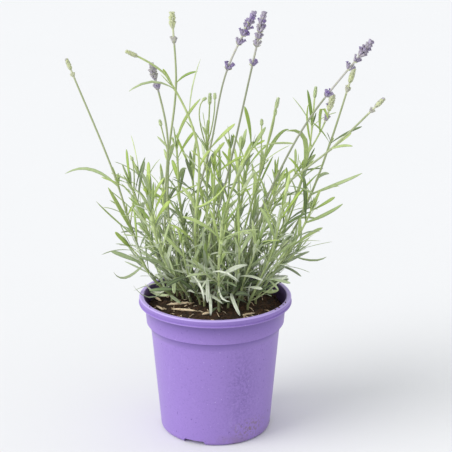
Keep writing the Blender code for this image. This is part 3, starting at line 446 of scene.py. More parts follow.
# Colours, linear
POT_DARK = (0.272, 0.172, 0.520)
POT_LIGHT = (0.325, 0.215, 0.575)
POT_SCUFF = (0.55, 0.45, 0.78)
POT_SPECK = (0.16, 0.09, 0.36)
POT_DUST = (0.22, 0.15, 0.13)
# A darker tone for the moulded grain and the streaks, also used as painted shade under the lip and the
# collar's step
POT_DARK_MARKS_AND_PAINTED_SHADE = (0.17, 0.105, 0.36)
# Painted shade on the lip
POT_LIP_SHADE = (0.20, 0.125, 0.44)
# Painted highlight along the lip's top
POT_RIM_HIGHLIGHT = (0.50, 0.385, 0.80)
# Painted shade inside the pot
POT_INSIDE_SHADE = (0.080, 0.042, 0.135)
POT_STAIN = (0.030, -0.040, 0.013)
POT_STAIN_REACH = (0.024, 0.024, 0.012)
POT_STREAK = (0.022, -0.052, 0.050)
POT_STREAK_REACH = (0.018, 0.030, 0.055)
PEAT_BLACK = (0.012, 0.008, 0.005)
PEAT_BROWN = (0.040, 0.027, 0.018)
PEAT_RED = (0.13, 0.060, 0.030)
PEAT_TAN = (0.34, 0.24, 0.13)
WOOD_DARK = (0.52, 0.36, 0.20)
WOOD_MIDDLE = (0.86, 0.66, 0.42)
WOOD_PALE = (0.96, 0.86, 0.66)
LEAF_BLACK = (0.05, 0.085, 0.02)
LEAF_DEEP = (0.21, 0.33, 0.045)
LEAF_FRESH = (0.48, 0.62, 0.12)
LEAF_YOUNG = (0.60, 0.72, 0.26)
LEAF_SHADOW = (0.15, 0.24, 0.07)
LEAF_RIB = (0.50, 0.62, 0.28)
LEAF_UNDER = (0.50, 0.58, 0.38)
LEAF_ROOT = (0.48, 0.57, 0.24)
SILVER_BLACK = (0.045, 0.06, 0.028)
SILVER_DEEP = (0.20, 0.26, 0.14)
SILVER_MIDDLE = (0.50, 0.56, 0.39)
SILVER_PALE = (0.88, 0.90, 0.80)
STEM_YOUNG = (0.62, 0.74, 0.30)
STEM_FRESH = (0.46, 0.58, 0.19)
STEM_GREY = (0.33, 0.335, 0.26)
STEM_DEEP = (0.20, 0.28, 0.09)
STEM_WOODY = (0.18, 0.15, 0.08)
BUD_PALE = (0.66, 0.72, 0.36)
BUD_GREEN = (0.56, 0.60, 0.36)
CALYX_GREY = (0.52, 0.50, 0.48)
CALYX_VIOLET = (0.42, 0.35, 0.56)
COROLLA = (0.24, 0.14, 0.48)
CALYX_DARK = (0.10, 0.065, 0.17)
CALYX_WOOL = (0.76, 0.71, 0.80)
CALYX_ROOT = (0.46, 0.48, 0.32)
FLOOR_PALE = (0.772, 0.778, 0.790)
FLOOR_WHITE = (0.784, 0.790, 0.802)

# Light and camera
FLOOR_HALF = 4.0
KEY_ELEVATION = 34.0
KEY_AZIMUTH = -66.0
KEY_SPREAD = 42.0
KEY_STRENGTH = 2.0
KEY_COLOUR = (1.0, 0.99, 0.97)
WORLD_COLOUR = (0.97, 0.985, 1.0)
WORLD_STRENGTH = 0.86
CAMERA_PLACE = (0.0, -1.0, 0.487)
CAMERA_PITCH = 17.1
CAMERA_TURN = -0.52
CAMERA_LENS = 99.8


# Pot and soil shapes that the plan needs


def inner_wall(height):
    """The pot's inside radius at a height."""
    heights = [FLOOR_RECESS + WALL, SHOULDER_BOTTOM, COLLAR_BOTTOM, POT_HEIGHT - 0.001]
    radii = [FOOT_RADIUS - WALL + 0.0004, SHOULDER_RADIUS - WALL, COLLAR_BOTTOM_RADIUS - WALL, MOUTH_RADIUS]
    return float(np.interp(height, heights, radii))


def soil_height(x, y):
    """The soil's surface, slightly mounded round the plant."""
    return SOIL_EDGE + SOIL_CROWN * (1.0 - (x * x + y * y) / SOIL_RADIUS**2)


# Where the stems go


def smooth_through(heights, values, at):
    """A smooth curve through the values, as a function of height."""
    slopes = np.gradient(values, heights)
    span = np.clip(np.searchsorted(heights, at) - 1, 0, len(heights) - 2)
    length = heights[span + 1] - heights[span]
    t = (at - heights[span]) / length
    return (
        (2 * t**3 - 3 * t**2 + 1) * values[span]
        + (t**3 - 2 * t**2 + t) * length * slopes[span]
        + (3 * t**2 - 2 * t**3) * values[span + 1]
        + (t**3 - t**2) * length * slopes[span + 1]
    )


def stem_lines():
    """Each stem's centre line, with the stems pushed apart in plan wherever two come too close."""
    routes = {}
    for name, points in {**SHOOTS, **STALKS}.items():
        x, y = points[0]
        routes[name] = np.array([(x, y, soil_height(x, y) + 2 * GAP), *points[1:]])
    levels = np.arange(SOIL_EDGE, LEVEL_TOP, LEVEL_STEP)
    plan = np.full((len(routes), len(levels), 2), np.nan)
    for row, route in enumerate(routes.values()):
        inside = (levels > route[0, 2] + 0.001) & (levels < route[-1, 2])
        for axis in (0, 1):
            plan[row, inside, axis] = smooth_through(route[:, 2], route[:, axis], levels[inside])
    for _ in range(SPREAD_ROUNDS):
        between = plan[:, None] - plan[None, :]
        distance = np.linalg.norm(between, axis=3)
        distance[np.isnan(distance) | (distance < 1e-9)] = 1.0
        strength = np.clip(STEM_SPACING - distance, 0.0, None) / distance * 0.5
        push = np.nansum(between * strength[..., None], axis=1)
        eased = 0.5 * push
        eased[:, 1:] += 0.25 * push[:, :-1]
        eased[:, :-1] += 0.25 * push[:, 1:]
        plan += eased
    lines = {}
    for row, (name, route) in enumerate(routes.items()):
        used = ~np.isnan(plan[row, :, 0])
        middle = np.column_stack([plan[row, used], levels[used]])
        foot = np.array([*middle[0, :2], soil_height(*middle[0, :2]) + 2 * GAP])
        if middle[0, 2] - foot[2] < 0.001:
            middle = middle[1:]
        lines[name] = [Vector(point) for point in (foot, *middle, route[-1])]
    return lines


class Line:
    """A centre line that can be read at any distance along it."""

    def __init__(self, points):
        steps = [0.0]
        for a, b in zip(points, points[1:]):
            steps.append(steps[-1] + (b - a).length)
        self.steps = np.array(steps)
        self.length = steps[-1]
        self.table = np.array([tuple(point) for point in points])

    def at(self, distance):
        return Vector([float(np.interp(distance, self.steps, self.table[:, k])) for k in range(3)])

    def heading(self, distance):
        ahead = self.at(min(distance + 0.002, self.length))
        behind = self.at(max(distance - 0.002, 0.0))
        return (ahead - behind).normalized()

    def distance_at_height(self, height):
        return float(np.interp(height, self.table[:, 2], self.steps))


# Keeping the leaves apart


class Room:
    """Balls that fill the stems and leaves made so far, kept in a grid of small cells."""

    def __init__(self):
        self.cells = {}

    def cell(self, point):
        return tuple(math.floor(value / GRID) for value in point)

    def add(self, point, radius, owner):
        self.cells.setdefault(self.cell(point), []).append((point, radius, owner))

    def is_free(self, point, radius, ignored, clearance=LEAF_CLEARANCE):
        """Whether a ball clears all but the ignored owner's; a negative clearance lets them overlap."""
        i, j, k = self.cell(point)
        for di in (-1, 0, 1):
            for dj in (-1, 0, 1):
                for dk in (-1, 0, 1):
                    for other, size, owner in self.cells.get((i + di, j + dj, k + dk), ()):
                        if owner != ignored and (other - point).length < size + radius + clearance:
                            return False
        return True


def clear_of_pot(point, half_width):
    """Whether a leaf point stays off the soil and the pot."""
    radius = math.hypot(point.x, point.y)
    if radius < inner_wall(POT_HEIGHT) - half_width - 0.0012:
        return point.z > soil_height(point.x, point.y) + half_width * 0.6 + 0.0012
    if radius < LIP_RADIUS + half_width + 0.0008:
        return point.z > POT_HEIGHT + half_width * 0.6 + 0.0008
    return point.z > 0.05


def leaf_half_width(part, width):
    """Half the leaf's width at a part of its length: narrow at the stem, widest past the middle."""
    return width / 2 * float(np.interp(part, (0.0, 0.25, 0.6, 0.9, 1.0), (0.45, 0.8, 1.0, 0.6, 0.15)))


def leaf_fits(room, path, width, stem):
    """Whether a leaf along the path is clear of everything, apart from its own stem near its root."""
    for k in range(1, LEAF_STEPS + 1):
        half = leaf_half_width(k / LEAF_STEPS, width)
        if not clear_of_pot(path[k], half):
            return False
        own = stem if (path[k] - path[0]).length < 0.007 else None
        if not room.is_free(path[k], half, own):
            return False
    return True


def claim_leaf(room, path, width, stem):
    """Fills the leaf's place, from a little way out of its stem."""
    for k in range(1, LEAF_STEPS + 1):
        room.add(path[k], leaf_half_width(k / LEAF_STEPS, width), stem if k < 2 else stem + " leaf")


def curved_path(root, along, out, length, lean, bend, droop):
    """A leaf's middle: it leaves its stem at the angle lean, turns outwards by bend, and its tip droops."""
    path = [root.copy()]
    for k in range(LEAF_STEPS):
        part = (k + 0.5) / LEAF_STEPS
        angle = lean + bend * part
        heading = along * math.cos(angle) + out * math.sin(angle)
        heading.z -= droop * part * part
        path.append(path[-1] + heading.normalized() * length / LEAF_STEPS)
    return path


def arched_path(root, middle, tip):
    """A leaf's middle from the stem through a point to the tip, as one quadratic curve."""
    control = 2 * Vector(middle) - (root + Vector(tip)) / 2
    path = []
    for k in range(LEAF_STEPS + 1):
        t = k / LEAF_STEPS
        path.append(root * (1 - t) ** 2 + control * 2 * t * (1 - t) + Vector(tip) * t * t)
    return path


# Growing the stems and leaves


class Stem:
    """One stem: its line, its radius, the nodes where leaves grow, and the leaves."""

    def __init__(self, name, points, dice):
        self.name = name
        self.line = Line(points)
        self.is_stalk = name in STALKS
        self.turn = dice.uniform(0, math.tau)
        self.end = self.line.length - (0.0 if self.is_stalk else END_LEAF)
        if name in HEADS:
            self.end -= head_length(HEADS[name][1]) + GAP
        self.nodes = self.place_nodes(dice)
        self.leaves = []

    def radius(self, distance):
        start = STALK_RADIUS if self.is_stalk else STEM_RADIUS
        return start + (STEM_TIP_RADIUS - start) * min(1.0, distance / self.line.length)

    def place_nodes(self, dice):
        """Distances of the leaf pairs, closer together on leafy shoots, and of the long leaves."""
        highest = self.end - 2 * NODE_HALF
        marked = [
            min(self.line.distance_at_height(height), highest)
            for name, height, *_ in LONG_LEAVES if name == self.name
        ]
        if self.is_stalk:
            last = self.line.distance_at_height(LEAFY_TO[self.name])
            gap = STALK_GAP
        else:
            last = self.end - 0.004
            gap = SHOOT_GAP
        nodes = list(marked)
        distance = dice.uniform(0.010, 0.020)
        while distance < last:
            if all(abs(distance - other) > 0.010 for other in marked):
                nodes.append(distance)
            distance += dice.uniform(*gap)
        return sorted(nodes)

    def frame(self, distance):
        """Heading, and the two directions across the stem that its flat sides face."""
        heading = self.line.heading(distance)
        first = Vector((math.cos(self.turn), math.sin(self.turn), 0.0))
        across = (first - heading * first.dot(heading)).normalized()
        return heading, across, heading.cross(across)

    def side_facing(self, distance, side):
        """The direction out of one of the stem's four flat sides."""
        _, across, beside = self.frame(distance)
        return (across, beside, -across, -beside)[side]


def head_length(whorls):
    """How long a head is from its foot to its tip."""
    return whorls[-1][0] + WHORL_HALF + 0.0010


def grow_long_leaves(stems, room):
    """The leaves whose places are set one by one."""
    for name, height, middle, tip, width in LONG_LEAVES:
        stem = stems[name]
        distance = min(stem.nodes, key=lambda node: abs(node - stem.line.distance_at_height(height)))
        root = stem.line.at(distance)
        wanted = (Vector(middle) - root).normalized()
        side = max(range(4), key=lambda k: stem.side_facing(distance, k).dot(wanted))
        path = arched_path(root, middle, tip)
        stem.leaves.append((distance, side, path, width))
        claim_leaf(room, path, width, name)


def grow_leaf_pairs(stem, room, dice):
    """Opposite leaves at each node, each pair a quarter turn from the last, where they fit."""
    for number, distance in enumerate(stem.nodes):
        height = distance / stem.line.length
        for side in (number % 2, number % 2 + 2):
            length = dice.uniform(*PAIR_LENGTH) * (0.85 if stem.is_stalk else 1.0)
            width = dice.uniform(*PAIR_WIDTH)
            lean = math.radians(dice.uniform(44, 62) - 26 * height)
            bend = math.radians(dice.uniform(5, 40))
            droop = dice.uniform(0.0, 0.6) * (1.0 - height)
            if any(abs(leaf[0] - distance) < 1e-6 and leaf[1] == side for leaf in stem.leaves):
                continue
            heading = stem.line.heading(distance)
            out = stem.side_facing(distance, side)
            root = stem.line.at(distance)
            if stem.is_stalk and root.z > STALK_PAIRS_TO:
                continue
            for shorter, leaning in PAIR_TRIES:
                path = curved_path(root, heading, out, length * shorter, lean + leaning, bend, droop)
                if leaf_fits(room, path, width, stem.name):
                    stem.leaves.append((distance, side, path, width))
                    claim_leaf(room, path, width, stem.name)
                    break


def plan_plant():
    """All stems with their leaves, none touching another."""
    dice = random.Random(PLAN_SEED)
    stems = {name: Stem(name, points, dice) for name, points in stem_lines().items()}
    room = Room()
    for stem in stems.values():
        for distance in np.arange(0.0, stem.line.length, 0.002):
            radius = stem.radius(distance) if distance < stem.end else END_LEAF_HALF
            room.add(stem.line.at(distance), radius, stem.name)
        for below, radius in head_balls(stem):
            room.add(stem.line.at(stem.line.length - below), radius, stem.name + " head")
    for start, end, width, thickness in CHIPS.values():
        for part in (0.0, 0.25, 0.5, 0.75, 1.0):
            x, y = (start[k] + (end[k] - start[k]) * part for k in (0, 1))
            room.add(Vector((x, y, soil_height(x, y) + thickness)), width / 2, "chip")
    grow_long_leaves(stems, room)
    for stem in stems.values():
        grow_leaf_pairs(stem, room, dice)
    return stems, room


def head_balls(stem):
    """Where a stem's head or bud is, as distances below the tip and radii."""
    if stem.name in HEADS:
        return HEADS[stem.name][1]
    if stem.name in BUD_ENDED:
        return [(BUD_LENGTH / 2, BUD_RADIUS)]
    return []


# Finer growth than the CAD holds


class Growth:
    """One thing grown on a stem: a leaf or a thin twig, with how silvery it is."""

    def __init__(self, path, width, up, silver, dice, is_twig=False):
        self.path = path
        self.width = width
        self.up = up
        self.silver = silver
        self.shade = 0.15 + 0.85 * dice.random()
        if self.shade < DARK_BELOW:
            self.shade, self.silver = DARK_SHADE, max(self.silver, DARK_SILVER)
        # Deep in the bush, low over the soil, the shade tone is lowered: painted shade on the leaves. A share
        # of the leaves there stay pale.
        depth = depth_at(path[len(path) // 2])
        if depth > 0.2 and dice.random() < PALE_SHARE:
            self.shade = max(self.shade, 0.85)
        else:
            self.shade *= 1.0 - 0.96 * depth
        self.twist = dice.gauss(0.0, 0.6)
        self.cup = dice.uniform(-0.05, 0.45)
        self.bluntness = dice.uniform(0.25, 1.0)
        self.is_twig = is_twig


def depth_at(point):
    """How deep in the bush a place is, close over the soil, from 0 to 1: how much painted shade a leaf there
    gets.
    """
    low = min(1.0, max(0.0, (DEEP_TOP - point.z) / DEEP_SPAN))
    inner = min(1.0, max(0.0, (DEEP_REACH - math.hypot(point.x, point.y)) / DEEP_EDGE))
    close = min(1.0, max(0.0, (SOIL_EDGE + CLOSE_HEIGHT - point.z) / CLOSE_HEIGHT))
    return low * max(inner, CLOSE_SHADE * close)


def silver_at(point, dice):
    """How silvery a leaf is: old leaves low and at the front are, young ones high up aren't."""
    low = (SILVER_TOP - point.z) / (SILVER_TOP - SILVER_FULL) - FRONT_SILVER * point.y
    odd = ODD_SILVER if dice.random() < ODD_SHARE else 0.0
    return min(1.0, max(0.0, low + odd + dice.gauss(0.0, 0.20)))


def path_fits(room, path, width, owner, clearance):
    """Whether a fine leaf or twig is clear of the pot and, past its root, of the other growth."""
    last = len(path) - 1
    for k in range(1, last + 1):
        half = leaf_half_width(k / last, width)
        if not clear_of_pot(path[k], half):
            return False
        if (path[k] - path[0]).length > FINE_ROOT and not room.is_free(path[k], half, owner, clearance):
            return False
    return True


def claim_path(room, path, width, owner):
    """Fills a fine leaf's or twig's place, past its root."""
    last = len(path) - 1
    for k in range(2, last + 1):
        room.add(path[k], leaf_half_width(k / last, width), owner)


def over_bare_soil(point):
    """Whether a place is low over the part of the soil that no leaf covers."""
    if point.y > BARE_TO or point.z > SOIL_EDGE + BARE_HEIGHT:
        return False
    return math.hypot(point.x, point.y) > (BARE_REACH_LEFT if point.x < BARE_SPLIT else BARE_REACH)


def draw_shape(kind, dice):
    """Draws a length, width, lean, bend and droop from a kind's ranges; None draws nothing."""
    length, width, lean, bend, droop = (dice.uniform(*span) if span else 0.0 for span in kind)
    return length, width, math.radians(lean), math.radians(bend), droop


def grow_fine_leaf(growths, room, stem, root, along, out, shape, dice):
    """Adds one fine leaf where it fits, shortened if it has to be; it may not fit at all."""
    length, width, lean, bend, droop = shape
    for shorter, leaning in FINE_TRIES:
        path = curved_path(root, along, out, length * shorter, lean + leaning, bend, droop)
        if any(over_bare_soil(point) for point in path[1:]):
            continue
        if path_fits(room, path, width, stem.name, FINE_CLEARANCE):
            claim_path(room, path, width, stem.name + " fine")
            growths.append(Growth(path, width, along, silver_at(root, dice), dice))
            return


def any_side(stem, distance, angle):
    """The direction out of a stem at an angle round it."""
    _, across, beside = stem.frame(distance)
    return (across * math.cos(angle) + beside * math.sin(angle)).normalized()


def grow_tufts(stem, growths, room, dice):
    """Small leaves in the axils of each node, and thin pairs between the nodes."""
    for number, distance in enumerate(stem.nodes):
        height = stem.line.at(distance).z
        count = dice.choice((1, 2)) if height < TUFTS_TO else dice.choice((0, 1))
        for side in (number % 2, number % 2 + 2):
            for _ in range(count):
                angle = side * math.pi / 2 + dice.gauss(0.0, 0.45)
                grow_fine_leaf(
                    growths, room, stem, stem.line.at(distance + AXIL_RISE), stem.line.heading(distance),
                    any_side(stem, distance, angle), draw_shape(TUFT_LEAF, dice), dice,
                )
    gaps = list(zip(stem.nodes, stem.nodes[1:]))
    if not stem.is_stalk and stem.nodes:
        gaps.append((stem.nodes[-1], stem.end + 0.010))
    for number, (low, high) in enumerate(gaps):
        if high - low < 0.012:
            continue
        distance = (low + high) / 2 + dice.uniform(-0.002, 0.002)
        if stem.line.at(distance).z > (STALK_BARE_ABOVE if stem.is_stalk else PAIRS_TO):
            continue
        for side in (0, 1):
            angle = math.pi * (0.25 + side) + number * math.pi / 2 + dice.gauss(0.0, 0.15)
            grow_fine_leaf(
                growths, room, stem, stem.line.at(distance), stem.line.heading(distance),
                any_side(stem, distance, angle), draw_shape(BETWEEN_LEAF, dice), dice,
            )


def grow_skirt(stem, growths, room, dice):
    """Old leaves near a stem's foot, which lean out and droop over the soil."""
    for _ in range(SKIRT_LEAVES):
        distance = dice.uniform(*SKIRT_FROM)
        out = any_side(stem, distance, dice.uniform(0, math.tau))
        grow_fine_leaf(
            growths, room, stem, stem.line.at(distance), stem.line.heading(distance), out,
            draw_shape(SKIRT_LEAF, dice), dice,
        )


def grow_sprigs(stem, growths, room, dice):
    """Short side shoots out of the lower axils, each with pairs of small narrow leaves."""
    distance = 0.008
    highest = min(stem.line.distance_at_height(SPRIGS_TO), stem.end - 0.02)
    while distance < highest:
        root = stem.line.at(distance)
        if math.hypot(root.x, root.y) > INNER_REACH:
            break
        out = any_side(stem, distance, dice.uniform(0, math.tau))
        length, _, lean, bend, droop = draw_shape(SPRIG, dice)
        path = curved_path(root, stem.line.heading(distance), out, length, lean, bend, droop)
        distance += dice.uniform(*SPRIG_GAP)
        if not path_fits(room, path, TWIG_RADIUS * 2, stem.name, FINE_CLEARANCE):
            continue
        claim_path(room, path, TWIG_RADIUS * 2, stem.name + " fine")
        growths.append(Growth(path, TWIG_RADIUS * 2, out, silver_at(root, dice), dice, is_twig=True))
        leaf_twig(stem, Line(path), growths, room, dice)


def leaf_twig(stem, twig, growths, room, dice):
    """Pairs of small leaves along a twig, a quarter turn apart, and a last one at its tip."""
    turn = dice.uniform(0, math.tau)
    at = TWIG_FIRST
    while at < twig.length - 0.002:
        heading = twig.heading(at)
        first = heading.orthogonal().normalized()
        for side in (0.0, math.pi):
            out = Matrix.Rotation(turn + side + dice.gauss(0.0, 0.15), 3, heading) @ first
            grow_fine_leaf(growths, room, stem, twig.at(at), heading, out, draw_shape(TWIG_LEAF, dice), dice)
        turn += math.pi / 2
        at += dice.uniform(*TWIG_GAP)
    heading = twig.heading(twig.length)
    shape = (dice.uniform(0.010, 0.018), 0.0018, 0.1, dice.uniform(-0.3, 0.3), 0.1)
    out = heading.orthogonal().normalized()
    grow_fine_leaf(growths, room, stem, twig.at(twig.length), heading, out, shape, dice)


def plan_growth(stems, room):
    """Every stem's growths: its CAD leaves, the listed leaves, then the finer ones that fit between."""
    dice = random.Random(GROWTH_SEED)
    growths = {}
    tones = {place[0]: [] for place in LONG_LEAVES}
    for place, tone in zip(LONG_LEAVES, LONG_TONES):
        tones[place[0]].append(tone)
    for name, stem in stems.items():
        growths[name] = []
        for number, (distance, _, path, width) in enumerate(stem.leaves):
            up = stem.line.heading(distance)
            leaf = Growth(path, width, up, silver_at(path[0], dice), dice)
            if number < len(tones.get(name, ())):
                leaf.silver, leaf.shade, girth = tones[name][number]
                leaf.width = width * girth
                leaf.up, leaf.twist, leaf.bluntness = FACING_UP, 0.0, 0.4
            growths[name].append(leaf)
    for name, height, middle, tip, width, silver in HAND_SET_LEAVES:
        stem = stems[name]
        distance = stem.line.distance_at_height(height)
        root = stem.line.at(distance)
        path = arched_path(root, middle, tip)
        claim_path(room, path, width, name + " fine")
        leaf = Growth(path, width, stem.line.heading(distance), silver, dice)
        leaf.up, leaf.twist = FACING_UP, 0.5 * leaf.twist
        leaf.shade = 0.25 + 0.45 * silver + 0.3 * dice.random()
        growths[name].append(leaf)
    for name, stem in stems.items():
        grow_tufts(stem, growths[name], room, dice)
    for name, stem in stems.items():
        grow_skirt(stem, growths[name], room, dice)
    for name, stem in stems.items():
        grow_sprigs(stem, growths[name], room, dice)
    return growths


# Making meshes


class Body:
    """Closed bodies gathered into one mesh, with a tone (four numbers) for each point."""

    def __init__(self):
        self.points = []
        self.faces = []
        self.tones = []
        self.slots = []

    def loft(self, rings, tones, slot=0):
        """One closed body through rings that run counter-clockwise about the way they go."""
        count = len(rings[0])
        first = len(self.points)
        for ring, ring_tones in zip(rings, tones):
            self.points.extend(ring)
            self.tones.extend(ring_tones)
        before = len(self.faces)
        for k in range(len(rings) - 1):
            low = first + k * count
            for j in range(count):
                step = (j + 1) % count
                self.faces.append((low + j, low + step, low + count + step, low + count + j))
        self.faces.append(tuple(range(first + count - 1, first - 1, -1)))
        last = first + (len(rings) - 1) * count
        self.faces.append(tuple(range(last, last + count)))
        self.slots.extend([slot] * (len(self.faces) - before))

    def place(self, name, materials, slot, *nodes):
        """Makes the object, rides it on the body and lets it stand for its CAD nodes."""
        mesh = bpy.data.meshes.new(name)
        mesh.from_pydata([tuple(point) for point in self.points], [], self.faces)
        mesh.polygons.foreach_set("use_smooth", [True] * len(self.faces))
        mesh.polygons.foreach_set("material_index", self.slots)
        tone = mesh.color_attributes.new("tone", "FLOAT_COLOR", "POINT")
        tone.data.foreach_set("color", [value for tone_values in self.tones for value in tone_values])
        for material in materials:
            mesh.materials.append(material)
        return place(bpy.data.objects.new(name, mesh), slot, *nodes)


def place(piece, slot, *nodes):
    """Puts a finished piece in the scene, on the plant's one body, in place of its CAD nodes."""
    if piece.name not in bpy.context.scene.collection.objects:
        bpy.context.scene.collection.objects.link(piece)
    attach(piece, BODY)
    if nodes:
        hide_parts(*nodes)
    return piece


def across_of(heading, up):
    """The sideways and upward directions of a leaf that goes along heading."""
    upward = up - heading * up.dot(heading)
    if upward.length < 1e-4:
        upward = heading.orthogonal()
    upward.normalize()
    return upward.cross(heading), upward


def add_leaf(body, leaf, section=LEAF_SECTION, parts=LEAF_PARTS):
    """A closed leaf: grooved midrib, margins rolled under, a blunt tip."""
    line = Line(leaf.path)
    up = leaf.up
    rings, tones = [], []
    for part in parts:
        distance = part * line.length
        heading = line.heading(distance)
        sideways, upward = across_of(heading, up)
        up = upward
        turn = Matrix.Rotation(leaf.twist * part, 3, heading)
        sideways, upward = turn @ sideways, turn @ upward
        half = leaf.width / 2 * (
            leaf.bluntness * float(np.interp(part, OUTLINE_PARTS, BLUNT_WIDTHS))
            + (1 - leaf.bluntness) * float(np.interp(part, OUTLINE_PARTS, POINTED_WIDTHS))
        )
        middle = line.at(distance)
        rings.append([
            middle + sideways * half * w + upward * half * (n + leaf.cup * abs(w) * (1 - part))
            for w, n, _ in section
        ])
        tones.append([(leaf.silver, part, across, leaf.shade) for _, _, across in section])
    body.loft(rings, tones)


def add_tube(body, line, distances, radius_at, silver, shade, slot, turn=0.0, ribs=4, depth=0.10, sides=8):
    """A closed tube along a line, with ribs down it: four for a square stem."""
    up = Vector((math.cos(turn), math.sin(turn), 0.0))
    rings, tones = [], []
    for distance in distances:
        heading = line.heading(distance)
        sideways, upward = across_of(heading, up)
        middle = line.at(distance)
        radius = radius_at(distance)
        ring = []
        for k in range(sides):
            angle = math.tau * k / sides
            size = radius * (1 + depth * math.cos(ribs * angle))
            ring.append(middle + (sideways * math.cos(angle) + upward * math.sin(angle)) * size)
        rings.append(ring)
        tones.append([(silver, distance / line.length, 0.5, shade)] * sides)
    body.loft(rings, tones, slot)


def add_stem(body, stem, dice):
    """The square stem, a little swollen at its nodes, from just below the soil to where its growth ends."""
    marks = list(np.arange(0.0, stem.end, STEM_STEP))
    for node in stem.nodes:
        marks += [node - 0.0014, node, node + 0.0014]
    marks = sorted(mark for mark in set(marks) if 0.0 <= mark < stem.end - 0.0004)
    marks.append(stem.end)
    points = [stem.line.at(0.0) - Vector((0, 0, STEM_BURIED)), *(stem.line.at(mark) for mark in marks)]
    line = Line(points)
    shift = line.steps[1]
    girth = THICKER_STEMS.get(stem.name, 1.0)

    def radius_at(distance):
        here = max(0.0, distance - shift)
        swelling = sum(math.exp(-((here - node) / 0.0013) ** 2) for node in stem.nodes)
        thicker = 1 + (girth - 1) * (1 - (here / stem.end) ** 3)
        return stem.radius(here) * thicker * (1 + 0.30 * min(1.0, swelling))

    silver = STALK_GREYNESS.get(stem.name, 0.30)
    add_tube(body, line, list(line.steps), radius_at, silver, dice.random(), 1, stem.turn)


def add_shoot_tip(body, stem, dice):
    """The young leaves that end a leafy shoot: the long one on its line, and smaller ones folded round it."""
    start = stem.end - 0.003
    path = [stem.line.at(start + (stem.line.length - start) * k / LEAF_STEPS) for k in range(LEAF_STEPS + 1)]
    up = any_side(stem, start, dice.uniform(0, math.tau))
    silver = silver_at(path[-1], dice) * 0.5
    add_leaf(body, Growth(path, END_LEAF_HALF * 2, up, silver, dice))
    for k in range(4):
        out = any_side(stem, start, stem.turn + k * math.pi / 2 + 0.4)
        length = dice.uniform(0.009, 0.016)
        lean = math.radians(dice.uniform(8, 24))
        path = curved_path(path[0], stem.line.heading(start), out, length, lean, dice.uniform(-0.3, 0.3), 0.0)
        add_leaf(body, Growth(path, dice.uniform(0.0018, 0.0028), stem.line.heading(start), silver, dice))


def add_bud(body, line, foot, tip, radius, silver, dice, rows=6):
    """A closed bud: rows of four overlapping scales round a short core."""
    length = tip - foot

    def girth(distance):
        part = (distance - foot) / length
        return radius * float(np.interp(part, (0.0, 0.3, 0.6, 0.9, 1.0), (0.45, 0.8, 0.75, 0.45, 0.12)))

    marks = [foot + length * k / 6 for k in range(7)]
    add_tube(body, line, marks, girth, silver, BUD_SHADE, 0, ribs=0)
    for row in range(rows):
        part = row / rows
        distance = foot + length * part
        heading = line.heading(distance)
        first = heading.orthogonal().normalized()
        for k in range(4):
            out = Matrix.Rotation(math.pi / 2 * k + math.pi / 4 * (row % 2) + 0.2, 3, heading) @ first
            root = line.at(distance) + out * girth(distance) * 0.55
            reach = length * 0.36 * (1.15 - 0.4 * part)
            lean = math.radians(20 - 12 * part)
            scale = curved_path(root, heading, out, reach, lean, math.radians(-26), 0.0)
            leaf = Growth(scale, radius * 1.25, -out, silver + dice.gauss(0, 0.06), dice)
            leaf.twist, leaf.cup = 0.0, -0.5
            leaf.shade = max(leaf.shade, BUD_SHADE)
            add_leaf(body, leaf, FINE_SECTION, FINE_PARTS)


def add_calyx(body, root, direction, length, radius, kind, dice):
    """A ribbed tube that widens a little and opens at its mouth."""
    line = Line([root, root + direction * length])
    shade = dice.random()
    rings, tones = [], []
    sideways, upward = across_of(direction, direction.orthogonal())
    for part, size in CALYX_PROFILE:
        middle = line.at(part * length)
        ring = []
        for k in range(10):
            angle = math.tau * k / 10
            girth = radius * size * (1 + 0.13 * (-1) ** k)
            ring.append(middle + (sideways * math.cos(angle) + upward * math.sin(angle)) * girth)
        rings.append(ring)
        tones.append([(kind, part, 0.5 + 0.5 * (k % 2), shade) for k in range(10)])
    body.loft(rings, tones)


def add_corolla(body, root, direction, size, dice):
    """A small open flower: a short tube and five rounded lobes, two up and three down."""
    line = Line([root, root + direction * size])
    marks = [0.0, size * 0.5, size]
    add_tube(body, line, marks, lambda at: size * (0.22 + 0.2 * at / size), 1.0, dice.random(), 0, ribs=0)
    first = direction.orthogonal().normalized()
    for k in range(5):
        out = Matrix.Rotation(math.tau * k / 5 + 0.3, 3, direction) @ first
        root = line.at(size * 0.85)
        path = curved_path(root, direction, out, size * 0.9, math.radians(50), math.radians(40), 0)
        lobe = Growth(path, size * 0.95, direction, 1.0, dice)
        lobe.twist = 0.0
        add_leaf(body, lobe, FINE_SECTION, FINE_PARTS)


def add_whorl(body, line, distance, radius, kind, open_share, dice, count=8, tilt=(36, 56)):
    """A ring of calyces round the stalk, with two bracts under it and some flowers open."""
    heading = line.heading(distance)
    first = heading.orthogonal().normalized()
    turn = dice.uniform(0, math.tau)
    for k in range(count):
        out = Matrix.Rotation(turn + math.tau * k / count + dice.gauss(0, 0.12), 3, heading) @ first
        angle = math.radians(dice.uniform(*tilt))
        direction = (heading * math.cos(angle) + out * math.sin(angle)).normalized()
        length = min(CALYX_LENGTH, radius / math.sin(angle)) * dice.uniform(0.88, 1.08)
        root = line.at(distance - WHORL_HALF * 0.75) + out * 0.0004
        add_calyx(body, root, direction, length, CALYX_RADIUS, kind + dice.gauss(0, 0.05), dice)
        if dice.random() < open_share:
            add_corolla(body, root + direction * length * 0.86, direction, dice.uniform(0.0013, 0.0019), dice)
    for side in (0.0, math.pi):
        out = Matrix.Rotation(turn + side, 3, heading) @ first
        root = line.at(distance - WHORL_HALF)
        path = curved_path(root, heading, out, radius * 1.05, math.radians(66), math.radians(-30), 0.0)
        bract = Growth(path, radius * 0.75, heading, 0.15, dice)
        bract.twist = 0.0
        add_leaf(body, bract, FINE_SECTION, FINE_PARTS)


